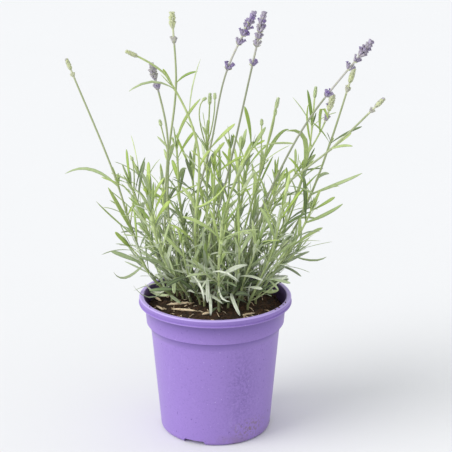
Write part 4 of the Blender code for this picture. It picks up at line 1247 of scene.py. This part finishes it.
def head_piece(stem, materials, dice):
    """A whole flower head along its stalk's line."""
    node, whorls = HEADS[stem.name]
    style = {**SPIKE_STYLES, **BUD_STYLES}[node]
    line = stem.line
    body = Body()
    foot = line.length - head_length(whorls)
    marks = list(np.linspace(foot - 0.0006, line.length - 0.002, 9))
    add_tube(body, line, marks, lambda at: NECK_RADIUS, style["axis"], dice.random(), 0)
    if node in BUD_STYLES:
        below, radius = whorls[0]
        add_bud(body, line, line.length - 2 * below, line.length, radius * 1.1, style["kind"], dice, rows=7)
        for below, radius in whorls[1:]:
            add_whorl(body, line, line.length - below, radius, style["low_kind"], 0.0, dice, 6, (18, 34))
    else:
        tip = line.length - whorls[0][0] + 0.0022
        add_bud(body, line, tip - 0.0044, tip, 0.0015, style["kind"], dice, rows=4)
        for number, (below, radius) in enumerate(whorls):
            low = number == len(whorls) - 1
            kind = style["low_kind"] if low else style["kind"]
            tilt = (6, 18) if number == 0 else style["tilt"]
            count = 6 if number == 0 else style["count"]
            share = 0.0 if number == 0 else style["open"]
            add_whorl(body, line, line.length - below, radius, kind, share, dice, count, tilt)
            if number < style["packed"]:
                between = line.length - (below + whorls[number + 1][0]) / 2
                add_whorl(body, line, between, radius * 0.95, kind, 0.0, dice, 6, (tilt[0] + 4, tilt[1] + 4))
    slot = "flower" if node in VIOLET_SPIKES else "bud"
    return body.place(node, materials, slot, node)


def stem_piece(stem, growths, materials, dice):
    """A stem with everything that grows on it, as one piece."""
    body = Body()
    add_stem(body, stem, dice)
    for growth in growths:
        if growth.is_twig:
            line = Line(growth.path)
            marks = list(np.linspace(0.0, line.length, 9))
            add_tube(body, line, marks, lambda at: TWIG_RADIUS, 0.5, growth.shade, 1, sides=6, ribs=0)
        elif growth.width > FINE_WIDTH:
            add_leaf(body, growth)
        else:
            add_leaf(body, growth, FINE_SECTION, FINE_PARTS)
    for name, height, middle, tip, length in BUD_SPRIGS:
        if name == stem.name:
            root = stem.line.at(stem.line.distance_at_height(height))
            line = Line(arched_path(root, middle, tip))
            marks = list(np.linspace(0.0, line.length - length * 0.8, 12))
            add_tube(body, line, marks, lambda at: TWIG_RADIUS, 0.4, dice.random(), 1, sides=6, ribs=0)
            add_bud(body, line, line.length - length, line.length, 0.0017, BUD_SILVER, dice, rows=4)
    if stem.name in BUD_ENDED:
        tip = stem.line.length
        add_bud(body, stem.line, tip - BUD_LENGTH, tip, BUD_RADIUS, BUD_SILVER, dice, rows=5)
    elif not stem.is_stalk:
        add_shoot_tip(body, stem, dice)
    return body.place(stem.name, materials, "stalk" if stem.is_stalk else "leaf", stem.name)


# Pot, soil and wood


def turned(name, profile, segments):
    """A closed solid spun from a profile of (radius, height) points whose two ends are on the axis."""
    shape = bmesh.new()
    corners = [shape.verts.new((radius, 0.0, height)) for radius, height in profile]
    edges = [shape.edges.new(pair) for pair in zip(corners, corners[1:])]
    bmesh.ops.spin(
        shape, geom=corners + edges, cent=(0, 0, 0), axis=(0, 0, 1), dvec=(0, 0, 0),
        angle=math.tau, steps=segments, use_merge=True, use_duplicate=False,
    )
    bmesh.ops.remove_doubles(shape, verts=shape.verts, dist=1e-6)
    bmesh.ops.recalc_face_normals(shape, faces=shape.faces)
    return mesh_object(name, shape)


def mesh_object(name, shape):
    """Makes a smooth object of a shape, with its edges kept sharp."""
    mesh = bpy.data.meshes.new(name)
    shape.to_mesh(mesh)
    shape.free()
    mesh.shade_smooth()
    mesh.set_sharp_from_angle(angle=SHARP_ANGLE)
    thing = bpy.data.objects.new(name, mesh)
    bpy.context.scene.collection.objects.link(thing)
    return thing


def arc(centre, radius, start, end, steps):
    """Points (radius, height) along an arc of a profile, angles in degrees."""
    angles = [math.radians(start + (end - start) * k / steps) for k in range(steps + 1)]
    return [(centre[0] + radius * math.cos(a), centre[1] + radius * math.sin(a)) for a in angles]


def pot_profile():
    """The pot's section, as the CAD has it, with its corners rounded."""
    ring_inside = FOOT_RADIUS - FOOT_ROUNDING - FOOT_RING_WIDTH
    floor_top = FLOOR_RECESS + WALL
    lip_bottom = POT_HEIGHT - LIP_DROP
    flange_bottom = POT_HEIGHT - LIP_FLANGE
    skirt_inside = LIP_RADIUS - WALL
    return [
        (0.0, FLOOR_RECESS),
        (ring_inside - 0.0006, FLOOR_RECESS),
        (ring_inside, 0.0004),
        (ring_inside + 0.0004, 0.0),
        *arc((FOOT_RADIUS - FOOT_ROUNDING, FOOT_ROUNDING), FOOT_ROUNDING, -90, 0, 10),
        *shoulder_curve(),
        *arc((COLLAR_BOTTOM_RADIUS - 0.0001, COLLAR_STEP), 0.0005, -90, 20, 5),
        (COLLAR_TOP_RADIUS, flange_bottom - 0.0012),
        (COLLAR_TOP_RADIUS + 0.0003, flange_bottom - 0.0004),
        (COLLAR_TOP_RADIUS + 0.0010, flange_bottom),
        (skirt_inside - 0.0010, flange_bottom),
        (skirt_inside - 0.0006, flange_bottom - 0.0004),
        (skirt_inside - 0.0006, lip_bottom + 0.0003),
        *arc((LIP_RADIUS - 0.0007, lip_bottom + 0.0006), 0.0006, -160, 70, 9),
        (LIP_RADIUS - 0.0011, lip_bottom + 0.0015),
        (LIP_RADIUS - 0.0008, lip_bottom + 0.0028),
        *arc((LIP_RADIUS - 0.0019, POT_HEIGHT - 0.0014), 0.0014, 0, 90, 9),
        *arc((MOUTH_RADIUS + 0.0010, POT_HEIGHT - 0.0010), 0.0010, 90, 180, 6),
        (COLLAR_BOTTOM_RADIUS - WALL, COLLAR_BOTTOM),
        (SHOULDER_RADIUS - WALL, SHOULDER_BOTTOM),
        (FOOT_RADIUS - WALL + 0.0004, floor_top + 0.0020),
        (FOOT_RADIUS - WALL - 0.0016, floor_top),
        (0.0, floor_top),
    ]


def shoulder_curve():
    """The soft step from the tapered wall out to the collar, from below."""
    points = []
    for k in range(11):
        part = k / 10
        ease = (1 - math.cos(math.pi * part)) / 2
        radius = SHOULDER_RADIUS + (COLLAR_BOTTOM_RADIUS - COLLAR_LEDGE - SHOULDER_RADIUS) * ease
        points.append((radius, SHOULDER_BOTTOM + (COLLAR_STEP - 0.0006 - SHOULDER_BOTTOM) * part))
    return points


def pot_piece():
    """The nursery pot, with its drain notches and holes cut through."""
    pot = turned("lilac_pot", pot_profile(), POT_SEGMENTS)
    pot.data.materials.append(plastic_material())
    shape = bmesh.new()
    for angle in NOTCH_ANGLES:
        block = notch_block()
        block.transform(Matrix.Rotation(angle, 4, "Z"))
        shape.from_mesh(block)
        bpy.data.meshes.remove(block)
    places = [(0.0, 0.0)]
    for k in range(DRAIN_HOLES):
        angle = math.tau * k / DRAIN_HOLES
        places.append((DRAIN_CIRCLE_RADIUS * math.cos(angle), DRAIN_CIRCLE_RADIUS * math.sin(angle)))
    for x, y in places:
        plug = bmesh.ops.create_cone(
            shape, cap_ends=True, segments=32, depth=0.006,
            radius1=DRAIN_HOLE_RADIUS, radius2=DRAIN_HOLE_RADIUS,
        )["verts"]
        bmesh.ops.translate(shape, verts=plug, vec=(x, y, FLOOR_RECESS + WALL / 2))
    cutter = mesh_object("pot_cutter", shape)
    cut = pot.modifiers.new("drainage", "BOOLEAN")
    cut.operation = "DIFFERENCE"
    cut.solver = "EXACT"
    cut.object = cutter
    apply_modifiers(pot)
    bpy.data.objects.remove(cutter)
    pot.data.set_sharp_from_angle(angle=SHARP_ANGLE)
    place(pot, "pot_plastic", "nursery_pot")


def notch_block():
    """A block with rounded edges that cuts one notch through the foot ring, on the +X side."""
    shape = bmesh.new()
    bmesh.ops.create_cube(shape, size=1.0)
    bmesh.ops.scale(shape, verts=shape.verts, vec=(0.012, NOTCH_WIDTH, 2 * NOTCH_HEIGHT))
    bmesh.ops.bevel(shape, geom=shape.edges[:], offset=0.0008, segments=3, affect="EDGES")
    bmesh.ops.translate(shape, verts=shape.verts, vec=(FOOT_RADIUS - 0.001, 0, 0))
    block = bpy.data.meshes.new("notch")
    shape.to_mesh(block)
    shape.free()
    return block


def apply_modifiers(thing):
    """Bakes an object's modifiers into its mesh."""
    bpy.context.view_layer.update()
    solid = bpy.data.meshes.new_from_object(thing.evaluated_get(bpy.context.evaluated_depsgraph_get()))
    thing.modifiers.clear()
    thing.data = solid


def rough_soil_height(x, y):
    """The soil's surface with its lumps."""
    point = Vector((x, y, 0.0))
    lumps = noise.noise(point * 90.0) * 0.0009 + noise.noise(point * 260.0) * 0.0007
    lumps += noise.noise(point * 700.0) * 0.0004
    return soil_height(x, y) + lumps


def soil_piece():
    """The compost: a plug whose top is lumpy, with a sunken edge along the pot's wall."""
    body = Body()
    rings, tones = [], []
    bottom = FLOOR_RECESS + WALL + GAP
    levels = ((bottom, 0.003), (bottom + 0.003, 0.0), (SHOULDER_BOTTOM, 0.0), (COLLAR_BOTTOM, 0.0))
    for height, inset in levels:
        rings.append(circle(inner_wall(height) - 2 * GAP - inset, lambda x, y, h=height: h))
    outer = inner_wall(SOIL_EDGE) - 2 * GAP
    for k in range(SOIL_RINGS):
        radius = outer * (1.0 - k / SOIL_RINGS) ** 0.9
        rings.append(circle(radius, lambda x, y: rough_soil_height(x, y) - edge_dip(x, y, outer)))
    for ring in rings:
        tones.append([(0.0, 0.0, 0.0, 0.0)] * len(ring))
    body.loft(rings, tones)
    body.place("compost", [peat_material()], "soil", "potting_soil")


def edge_dip(x, y, outer):
    """The soil has shrunk down a little along the wall."""
    return 0.0016 * max(0.0, 1.0 - (outer - math.hypot(x, y)) / 0.006)


def circle(radius, height_at):
    """A level ring of points, counter-clockwise from above, each at its own height."""
    ring = []
    for k in range(SOIL_SIDES):
        angle = math.tau * k / SOIL_SIDES
        x, y = radius * math.cos(angle), radius * math.sin(angle)
        ring.append(Vector((x, y, height_at(x, y))))
    return ring


def add_crumb(body, centre, size, dice):
    """A small lump of compost: a ball squeezed out of round."""
    rings, tones = [], []
    shade = dice.random()
    stretch = [dice.uniform(0.7, 1.3) for _ in range(3)]
    for level in range(5):
        rise = -math.cos(math.pi * (level + 0.5) / 5)
        spread = math.sqrt(1 - rise * rise)
        ring = []
        for k in range(6):
            angle = math.tau * k / 6
            rough = size * dice.uniform(0.75, 1.25)
            ring.append(centre + Vector((
                math.cos(angle) * spread * rough * stretch[0],
                math.sin(angle) * spread * rough * stretch[1],
                rise * size * stretch[2] * 0.8,
            )))
        rings.append(ring)
        tones.append([(shade, 0.0, 0.0, dice.random())] * 6)
    body.loft(rings, tones)


def crumbs_piece():
    """Loose crumbs on the compost, and a few on the pot's lip."""
    dice = random.Random(CRUMB_SEED)
    body = Body()
    for _ in range(CRUMBS):
        angle, radius = dice.uniform(0, math.tau), LITTER_REACH * math.sqrt(dice.random())
        x, y = radius * math.cos(angle), radius * math.sin(angle)
        size = 0.0004 + 0.0011 * dice.random() ** 3
        add_crumb(body, Vector((x, y, rough_soil_height(x, y) + size * 0.25)), size, dice)
    for degrees, size in LIP_CRUMBS:
        angle = math.radians(degrees)
        radius = MOUTH_RADIUS + 0.0022
        centre = Vector((radius * math.cos(angle), radius * math.sin(angle), POT_HEIGHT + size * 0.5))
        add_crumb(body, centre, size, dice)
    body.place("compost_crumbs", [peat_material()], "soil")


def fibres_piece():
    """Thin roots and wood fibres scattered on the compost."""
    dice = random.Random(FIBRE_SEED)
    body = Body()
    for _ in range(FIBRES):
        angle, radius = dice.uniform(0, math.tau), FIBRE_REACH * math.sqrt(dice.random())
        x, y = radius * math.cos(angle), radius * math.sin(angle)
        length = dice.uniform(0.003, 0.011)
        turn = dice.uniform(0, math.tau)
        points = []
        for _ in range(6):
            turn += dice.gauss(0.0, 0.25)
            points.append(Vector((x, y, rough_soil_height(x, y) + 0.0003 + dice.uniform(0, 0.0006))))
            x += math.cos(turn) * length / 5
            y += math.sin(turn) * length / 5
            if math.hypot(x, y) > LITTER_REACH:
                break
        if len(points) < 3:
            continue
        line = Line(points)
        girth = dice.uniform(0.00012, 0.00038)
        marks = list(line.steps)
        add_tube(body, line, marks, lambda at: girth, dice.random(), dice.random(), 0, sides=5, ribs=0)
    body.place("wood_fibres", [wood_material()], "wood_chip")


def chip_piece(name, start, end, width, thickness):
    """A split sliver of wood: its faces run in uneven strips, and its ends are torn."""
    dice = random.Random(name)
    body = Body()
    along = Vector((end[0] - start[0], end[1] - start[1], 0.0))
    across = Vector((along.y, -along.x, 0.0)).normalized()
    strips = 5
    for strip in range(strips):
        offset = (strip + 0.5) / strips - 0.5
        first, last = dice.uniform(0.0, 0.14), dice.uniform(0.86, 1.0)
        lift = dice.uniform(-0.15, 0.15) * thickness
        rings, tones = [], []
        for k in range(9):
            part = first + (last - first) * k / 8
            x, y = start[0] + along.x * part, start[1] + along.y * part
            girth = float(np.interp(part, (0, 0.25, 0.5, 0.75, 1), CHIP_GIRTHS))
            wave = 0.10 * width * noise.noise(Vector((part * 5.0, strip * 3.1, width * 900)))
            middle = Vector((x, y, soil_height(x, y) + 2 * GAP + thickness / 2 + lift))
            middle += across * (offset * width * girth + wave)
            half = width / strips * 0.62 * girth * dice.uniform(0.85, 1.1)
            rise = thickness / 2 * girth * dice.uniform(0.8, 1.05) * (0.35 if k in (0, 8) else 1.0)
            ring = []
            for w, n in ((1, -0.6), (1, 0.5), (0.45, 1), (-0.45, 1), (-1, 0.5), (-1, -0.6), (0, -1)):
                ring.append(middle + across * half * w + Vector((0, 0, rise * n)))
            rings.append(ring)
            tones.append([(0.8, part, 0.5, dice.random())] * len(ring))
        body.loft(rings, tones)
    body.place(name, [wood_material()], "wood_chip", name)


# Materials


def grey(value):
    """A grey colour, or a share for a ramp to give."""
    return (value, value, value)


BLACK = grey(0)


class Shader:
    """A material's node tree, with short ways to add and join nodes."""

    made = {}

    def __init__(self, name, **settings):
        self.material = bpy.data.materials.new(name)
        self.material.use_nodes = True
        self.nodes = self.material.node_tree.nodes
        self.links = self.material.node_tree.links
        self.surface = self.nodes["Principled BSDF"]
        for socket, value in settings.items():
            self.surface.inputs[socket.replace("_", " ").title().replace("Ior", "IOR")].default_value = value

    def add(self, kind, **values):
        node = self.nodes.new(kind)
        for key, value in values.items():
            setattr(node, key, value)
        return node

    def join(self, source, target):
        self.links.new(source, target)

    def place(self):
        """Where a point is, in the object's own metres."""
        return self.add("ShaderNodeTexCoord").outputs["Object"]

    def remap(self, source, low, high, to_low, to_high):
        """Stretches the range low to high onto another one, and holds it there."""
        node = self.add("ShaderNodeMapRange")
        for socket, value in (("From Min", low), ("From Max", high), ("To Min", to_low), ("To Max", to_high)):
            node.inputs[socket].default_value = value
        self.join(source, node.inputs["Value"])
        return node.outputs["Result"]

    def near(self, centre, reach):
        """1 at a place, falling to 0 at a distance; reach gives that distance along each axis."""
        mapping = self.add("ShaderNodeMapping", vector_type="TEXTURE")
        mapping.inputs["Location"].default_value = centre
        mapping.inputs["Scale"].default_value = reach
        self.join(self.place(), mapping.inputs["Vector"])
        ball = self.add("ShaderNodeTexGradient", gradient_type="SPHERICAL")
        self.join(mapping.outputs["Vector"], ball.inputs["Vector"])
        return ball.outputs["Fac"]

    def noise(self, scale, detail=4.0, rough=0.55, stretch=None):
        """Noise in the object's own metres; stretch squeezes it along the axes."""
        texture = self.add("ShaderNodeTexNoise")
        texture.inputs["Scale"].default_value = scale
        texture.inputs["Detail"].default_value = detail
        texture.inputs["Roughness"].default_value = rough
        if stretch:
            mapping = self.add("ShaderNodeMapping")
            mapping.inputs["Scale"].default_value = stretch
            self.join(self.place(), mapping.inputs["Vector"])
            self.join(mapping.outputs["Vector"], texture.inputs["Vector"])
        else:
            self.join(self.place(), texture.inputs["Vector"])
        return texture.outputs["Fac"]

    def ramp(self, source, *stops):
        """A colour ramp of (position, colour) stops."""
        node = self.add("ShaderNodeValToRGB")
        elements = node.color_ramp.elements
        for end, (position, colour) in ((0, stops[0]), (1, stops[-1])):
            elements[end].position = position
            elements[end].color = (*colour, 1.0)
        for position, colour in stops[1:-1]:
            elements.new(position).color = (*colour, 1.0)
        self.join(source, node.inputs["Fac"])
        return node.outputs["Color"]

    def tone(self):
        """The four numbers painted on the points."""
        attribute = self.add("ShaderNodeAttribute", attribute_name="tone")
        parts = self.add("ShaderNodeSeparateColor")
        self.join(attribute.outputs["Color"], parts.inputs["Color"])
        return (*parts.outputs, attribute.outputs["Alpha"])

    def mix(self, share, first, second, blend="MIX"):
        """Mixes two colours; share is a number or a socket."""
        node = self.add("ShaderNodeMix", data_type="RGBA", blend_type=blend)
        for socket, value in ((node.inputs[0], share), (node.inputs[6], first), (node.inputs[7], second)):
            if isinstance(value, bpy.types.NodeSocket):
                self.join(value, socket)
            else:
                socket.default_value = value if isinstance(value, float) else (*value, 1.0)
        return node.outputs[2]

    def sums(self, operation, first, second, clamp=False):
        node = self.add("ShaderNodeMath", operation=operation, use_clamp=clamp)
        for socket, value in zip(node.inputs, (first, second)):
            if isinstance(value, bpy.types.NodeSocket):
                self.join(value, socket)
            else:
                socket.default_value = value
        return node.outputs[0]

    def bump(self, height, strength, distance):
        node = self.add("ShaderNodeBump")
        node.inputs["Strength"].default_value = strength
        node.inputs["Distance"].default_value = distance
        self.join(height, node.inputs["Height"])
        self.join(node.outputs["Normal"], self.surface.inputs["Normal"])

    def colour(self, socket):
        self.join(socket, self.surface.inputs["Base Color"])

    def roughness(self, source, low, high):
        self.join(self.remap(source, 0.0, 1.0, low, high), self.surface.inputs["Roughness"])


def plastic_material():
    """Lilac polypropylene: fine moulded grain, scuffs, specks, soil dust low down, a stain and streaks, with
    painted shade under the lip and the collar's step, over the lip and inside, and a painted highlight along
    the lip's top.
    """
    shader = Shader("lilac_plastic", specular_ior_level=0.5)
    base = shader.mix(shader.noise(14.0, 3.0), POT_DARK, POT_LIGHT)
    grain = shader.ramp(shader.noise(650.0, 3.0, 0.7), (0.50, BLACK), (0.72, grey(0.34)))
    grained = shader.mix(grain, base, POT_DARK_MARKS_AND_PAINTED_SHADE)
    scuffs = shader.noise(120.0, 6.0, 0.7, stretch=(1.0, 1.0, 0.25))
    scuffed = shader.mix(shader.ramp(scuffs, (0.60, BLACK), (0.80, grey(0.22))), grained, POT_SCUFF)
    dark = shader.ramp(shader.noise(330.0, 2.0, 0.6), (0.700, BLACK), (0.722, grey(0.85)))
    pale = shader.ramp(shader.noise(560.0, 1.0), (0.755, BLACK), (0.780, grey(0.6)))
    speckled = shader.mix(pale, shader.mix(dark, scuffed, POT_SPECK), POT_SCUFF)
    axes = shader.add("ShaderNodeSeparateXYZ")
    shader.join(shader.place(), axes.inputs["Vector"])
    height = axes.outputs["Z"]
    low = shader.remap(height, 0.030, 0.0, 0.0, 0.55)
    dust = shader.sums("MULTIPLY", low, shader.noise(60.0, 5.0, 0.65))
    dusty = shader.mix(shader.ramp(dust, (0.22, BLACK), (0.36, grey(0.4))), speckled, POT_DUST)
    spots = shader.ramp(shader.noise(430.0, 3.0, 0.6), (0.52, BLACK), (0.58, grey(0.9)))
    splash = shader.sums("MULTIPLY", shader.near(POT_STAIN, POT_STAIN_REACH), spots)
    stained = shader.mix(splash, dusty, POT_DUST)
    streaks = shader.ramp(shader.noise(420.0, 5.0, 0.7), (0.44, BLACK), (0.60, grey(0.8)))
    streak = shader.sums("MULTIPLY", shader.near(POT_STREAK, POT_STREAK_REACH), streaks)
    streaked = shader.mix(streak, stained, POT_DARK_MARKS_AND_PAINTED_SHADE)
    # Painted shade under the lip and under the collar's step
    line_shaded = shader.mix(shaded_lines(shader, height), streaked, POT_DARK_MARKS_AND_PAINTED_SHADE)
    # Painted shade over the lip, from a little above its lower edge upwards
    lip_shade = shader.remap(height, POT_HEIGHT - LIP_DROP + 0.0006, POT_HEIGHT - LIP_DROP + 0.0014, 0.0, 0.35)
    lip_shaded = shader.mix(lip_shade, line_shaded, POT_LIP_SHADE)
    # Painted highlight along the lip's top face, where it faces up
    top = shader.remap(height, POT_HEIGHT - 0.0032, POT_HEIGHT - 0.0018, 0.0, 1.0)
    rim_highlight = shader.sums("MULTIPLY", top, shader.remap(facing_up(shader), 0.25, 0.70, 0.0, 1.0))
    rim_lit = shader.mix(rim_highlight, lip_shaded, POT_RIM_HIGHLIGHT)
    # Painted shade inside the pot, deepest lower down
    inside = inside_share(shader)
    below_rim = shader.remap(height, POT_HEIGHT - 0.0015, POT_HEIGHT - 0.0075, 0.30, 1.0)
    inside_shaded = shader.sums("MULTIPLY", inside, below_rim)
    shader.colour(shader.mix(inside_shaded, rim_lit, POT_INSIDE_SHADE))
    shader.roughness(scuffs, 0.30, 0.50)
    shader.bump(shader.noise(900.0, 3.0, 0.6), 0.12, 0.0002)
    return shader.material


def shaded_lines(shader, height):
    """Painted shade in the two corners that run round the pot: under the lip and under the collar's step."""
    lip = POT_HEIGHT - LIP_DROP
    full_shade, faint_shade = grey(0.78), grey(0.34)
    scaled = shader.remap(height, COLLAR_STEP - 0.008, lip + 0.002, 0.0, 1.0)
    span = lip + 0.002 - COLLAR_STEP + 0.008
    step, under = 0.008 / span, 1.0 - 0.002 / span
    return shader.ramp(
        scaled, (0.0, BLACK), (step * 0.35, faint_shade), (step * 0.80, full_shade), (step * 0.97, full_shade),
        (step, BLACK), (under - 0.62, BLACK), (under - 0.36, faint_shade), (under - 0.14, full_shade),
        (under - 0.02, full_shade), (under, BLACK),
    )


def facing_up(shader):
    """The upward part of the face's direction."""
    axes = shader.add("ShaderNodeSeparateXYZ")
    shader.join(shader.add("ShaderNodeNewGeometry").outputs["Normal"], axes.inputs["Vector"])
    return axes.outputs["Z"]


def inside_share(shader):
    """How far a point is on the inside of the pot: its face looks towards the axis."""
    geometry = shader.add("ShaderNodeNewGeometry")
    flat = shader.add("ShaderNodeVectorMath", operation="MULTIPLY")
    shader.join(shader.place(), flat.inputs[0])
    flat.inputs[1].default_value = (1.0, 1.0, 0.0)
    facing = shader.add("ShaderNodeVectorMath", operation="DOT_PRODUCT")
    shader.join(flat.outputs["Vector"], facing.inputs[0])
    shader.join(geometry.outputs["Normal"], facing.inputs[1])
    return shader.remap(facing.outputs["Value"], -0.010, -0.040, 0.0, 0.92)


def peat_material():
    """Damp peat: nearly black to red-brown, with paler crumbs."""
    if "peat" not in Shader.made:
        shader = Shader("peat", specular_ior_level=0.25)
        shade, _, _, other = shader.tone()
        fine = shader.noise(700.0, 6.0, 0.7)
        broad = shader.noise(110.0, 4.0, 0.6)
        mixed = shader.sums("ADD", shader.sums("MULTIPLY", fine, 0.62), shader.sums("MULTIPLY", broad, 0.38))
        soil = shader.ramp(mixed, (0.36, PEAT_BLACK), (0.50, PEAT_BROWN), (0.62, PEAT_RED), (0.72, PEAT_TAN))
        crumb = shader.mix(shader.sums("MULTIPLY", shade, 0.35), soil, PEAT_RED)
        shader.colour(shader.mix(shader.sums("MULTIPLY", other, 0.10), crumb, PEAT_TAN))
        shader.roughness(fine, 0.75, 1.0)
        shader.bump(fine, 0.9, 0.0006)
        Shader.made["peat"] = shader.material
    return Shader.made["peat"]


def wood_material():
    """Split pine: pale, streaked along its fibres."""
    if "wood" not in Shader.made:
        shader = Shader("split_wood", specular_ior_level=0.25)
        shade, _, _, other = shader.tone()
        grain = shader.noise(500.0, 5.0, 0.65, stretch=(0.6, 2.2, 2.2))
        wood = shader.ramp(grain, (0.32, WOOD_DARK), (0.52, WOOD_MIDDLE), (0.68, WOOD_PALE))
        aged = shader.mix(shader.sums("SUBTRACT", 0.75, shade, clamp=True), wood, WOOD_DARK)
        shader.colour(shader.mix(shader.sums("MULTIPLY", other, 0.55), aged, WOOD_PALE))
        shader.roughness(grain, 0.6, 0.9)
        shader.bump(grain, 0.7, 0.0004)
        Shader.made["wood"] = shader.material
    return Shader.made["wood"]


def leaf_material():
    """Lavender leaf: green under fine hairs, silvery when old, a pale midrib and a paler underside."""
    shader = Shader("lavender_leaf", specular_ior_level=0.30, sheen_weight=0.25, sheen_roughness=0.5)
    silver, along, across, shade = shader.tone()
    mottle = shader.noise(260.0, 4.0, 0.6)
    # The fourth tone runs from dark to pale: each leaf's own tone, lowered by painted shade deep in the bush
    green = shader.ramp(shade, (0.0, LEAF_BLACK), (0.2, LEAF_DEEP), (0.55, LEAF_FRESH), (1.0, LEAF_YOUNG))
    silvery = shader.ramp(
        shade, (0.0, SILVER_BLACK), (0.2, SILVER_DEEP), (0.60, SILVER_MIDDLE), (1.0, SILVER_PALE),
    )
    both = shader.mix(silver, green, silvery)
    spotted = shader.mix(shader.ramp(mottle, (0.35, grey(0.35)), (0.7, BLACK)), both, LEAF_SHADOW)
    rib = shader.ramp(across, (0.0, grey(0.40)), (0.12, BLACK))
    ribbed = shader.mix(rib, spotted, LEAF_RIB)
    under = shader.ramp(across, (0.60, BLACK), (0.95, grey(0.55)))
    sided = shader.mix(under, ribbed, LEAF_UNDER)
    root = shader.ramp(along, (0.0, grey(0.45)), (0.25, BLACK))
    shader.colour(shader.mix(root, sided, LEAF_ROOT))
    shader.roughness(mottle, 0.50, 0.74)
    shader.bump(shader.noise(2200.0, 2.0), 0.25, 0.00012)
    return shader.material


def stem_material():
    """Square green stem, grooved down its faces, greyer on the flower stalks."""
    shader = Shader("lavender_stem", specular_ior_level=0.35, sheen_weight=0.15)
    silver, along, _, shade = shader.tone()
    streaks = shader.noise(600.0, 4.0, 0.6, stretch=(1.0, 1.0, 0.12))
    fresh = shader.mix(shade, STEM_YOUNG, STEM_FRESH)
    greyed = shader.mix(silver, fresh, STEM_GREY)
    streaked = shader.mix(shader.ramp(streaks, (0.42, grey(0.4)), (0.6, BLACK)), greyed, STEM_DEEP)
    woody = shader.ramp(along, (0.02, grey(0.55)), (0.16, BLACK))
    shader.colour(shader.mix(woody, streaked, STEM_WOODY))
    shader.roughness(streaks, 0.45, 0.68)
    shader.bump(streaks, 0.35, 0.0002)
    return shader.material


def flower_material():
    """Calyces, corollas and buds: the painted kind goes from pale green over grey violet to violet."""
    shader = Shader("lavender_flower", specular_ior_level=0.25, sheen_weight=0.35, sheen_roughness=0.4)
    kind, along, across, shade = shader.tone()
    blotched = shader.sums("ADD", kind, shader.remap(shader.noise(420.0, 3.0), 0.3, 0.7, -0.12, 0.12))
    hues = shader.ramp(
        blotched, (0.0, BUD_PALE), (0.22, BUD_GREEN), (0.45, CALYX_GREY), (0.70, CALYX_VIOLET),
        (1.0, COROLLA),
    )
    wool = shader.noise(900.0, 4.0, 0.65)
    violet = shader.remap(kind, 0.25, 0.60, 0.12, 1.0)
    darker = shader.sums("MULTIPLY", shade, shader.sums("MULTIPLY", violet, 0.45))
    varied = shader.mix(darker, hues, CALYX_DARK)
    ribs = shader.sums("MULTIPLY", violet, shader.ramp(across, (0.5, grey(0.4)), (0.9, BLACK)))
    ribbed = shader.mix(ribs, varied, CALYX_DARK)
    woolly = shader.mix(shader.ramp(wool, (0.48, BLACK), (0.70, grey(0.5))), ribbed, CALYX_WOOL)
    rooted = shader.mix(shader.ramp(along, (0.0, grey(0.5)), (0.35, BLACK)), woolly, CALYX_ROOT)
    shader.colour(rooted)
    shader.roughness(wool, 0.6, 0.85)
    shader.bump(wool, 0.5, 0.00025)
    return shader.material


# Floor, light and camera


def stage():
    """A wide pale floor, a broad soft light from the upper left, and a white surrounding."""
    shape = bmesh.new()
    bmesh.ops.create_grid(shape, x_segments=2, y_segments=2, size=FLOOR_HALF)
    floor = mesh_object("floor", shape)
    floor.location.y = FLOOR_HALF * 0.55
    shader = Shader("floor_paper", specular_ior_level=0.1)
    shader.colour(shader.mix(shader.noise(3.0), FLOOR_PALE, FLOOR_WHITE))
    shader.surface.inputs["Roughness"].default_value = 0.9
    floor.data.materials.append(shader.material)
    light = bpy.data.lights.new("key_light", "SUN")
    light.angle = math.radians(KEY_SPREAD)
    light.energy = KEY_STRENGTH
    light.color = KEY_COLOUR
    lamp = bpy.data.objects.new("key_light", light)
    lamp.rotation_euler = (math.radians(90 - KEY_ELEVATION), 0.0, math.radians(KEY_AZIMUTH))
    bpy.context.scene.collection.objects.link(lamp)
    world = bpy.data.worlds.new("studio")
    world.use_nodes = True
    background = world.node_tree.nodes["Background"]
    background.inputs["Color"].default_value = (*WORLD_COLOUR, 1.0)
    background.inputs["Strength"].default_value = WORLD_STRENGTH
    bpy.context.scene.world = world


def camera():
    """The camera looks a little down at the plant, from a metre in front of it."""
    data = bpy.data.cameras.new("camera")
    data.lens = CAMERA_LENS
    data.sensor_width = 36.0
    data.clip_end = 50.0
    thing = bpy.data.objects.new("camera", data)
    thing.location = CAMERA_PLACE
    thing.rotation_euler = (math.radians(90 - CAMERA_PITCH), 0.0, math.radians(CAMERA_TURN))
    bpy.context.scene.collection.objects.link(thing)
    bpy.context.scene.camera = thing


def main():
    """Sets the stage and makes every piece."""
    bpy.context.scene.view_settings.view_transform = "Standard"
    camera()
    stage()
    pot_piece()
    soil_piece()
    crumbs_piece()
    fibres_piece()
    for name, (start, end, width, thickness) in CHIPS.items():
        chip_piece(name, start, end, width * CHIP_SLIMNESS.get(name, 0.75), thickness)
    leaf, stem_look, flower = leaf_material(), stem_material(), flower_material()
    stems, room = plan_plant()
    growths = plan_growth(stems, room)
    dice = random.Random(PIECE_SEED)
    for name, stem in stems.items():
        stem_piece(stem, growths[name], [leaf, stem_look], dice)
        if name in HEADS:
            head_piece(stem, [flower, flower], dice)


main()
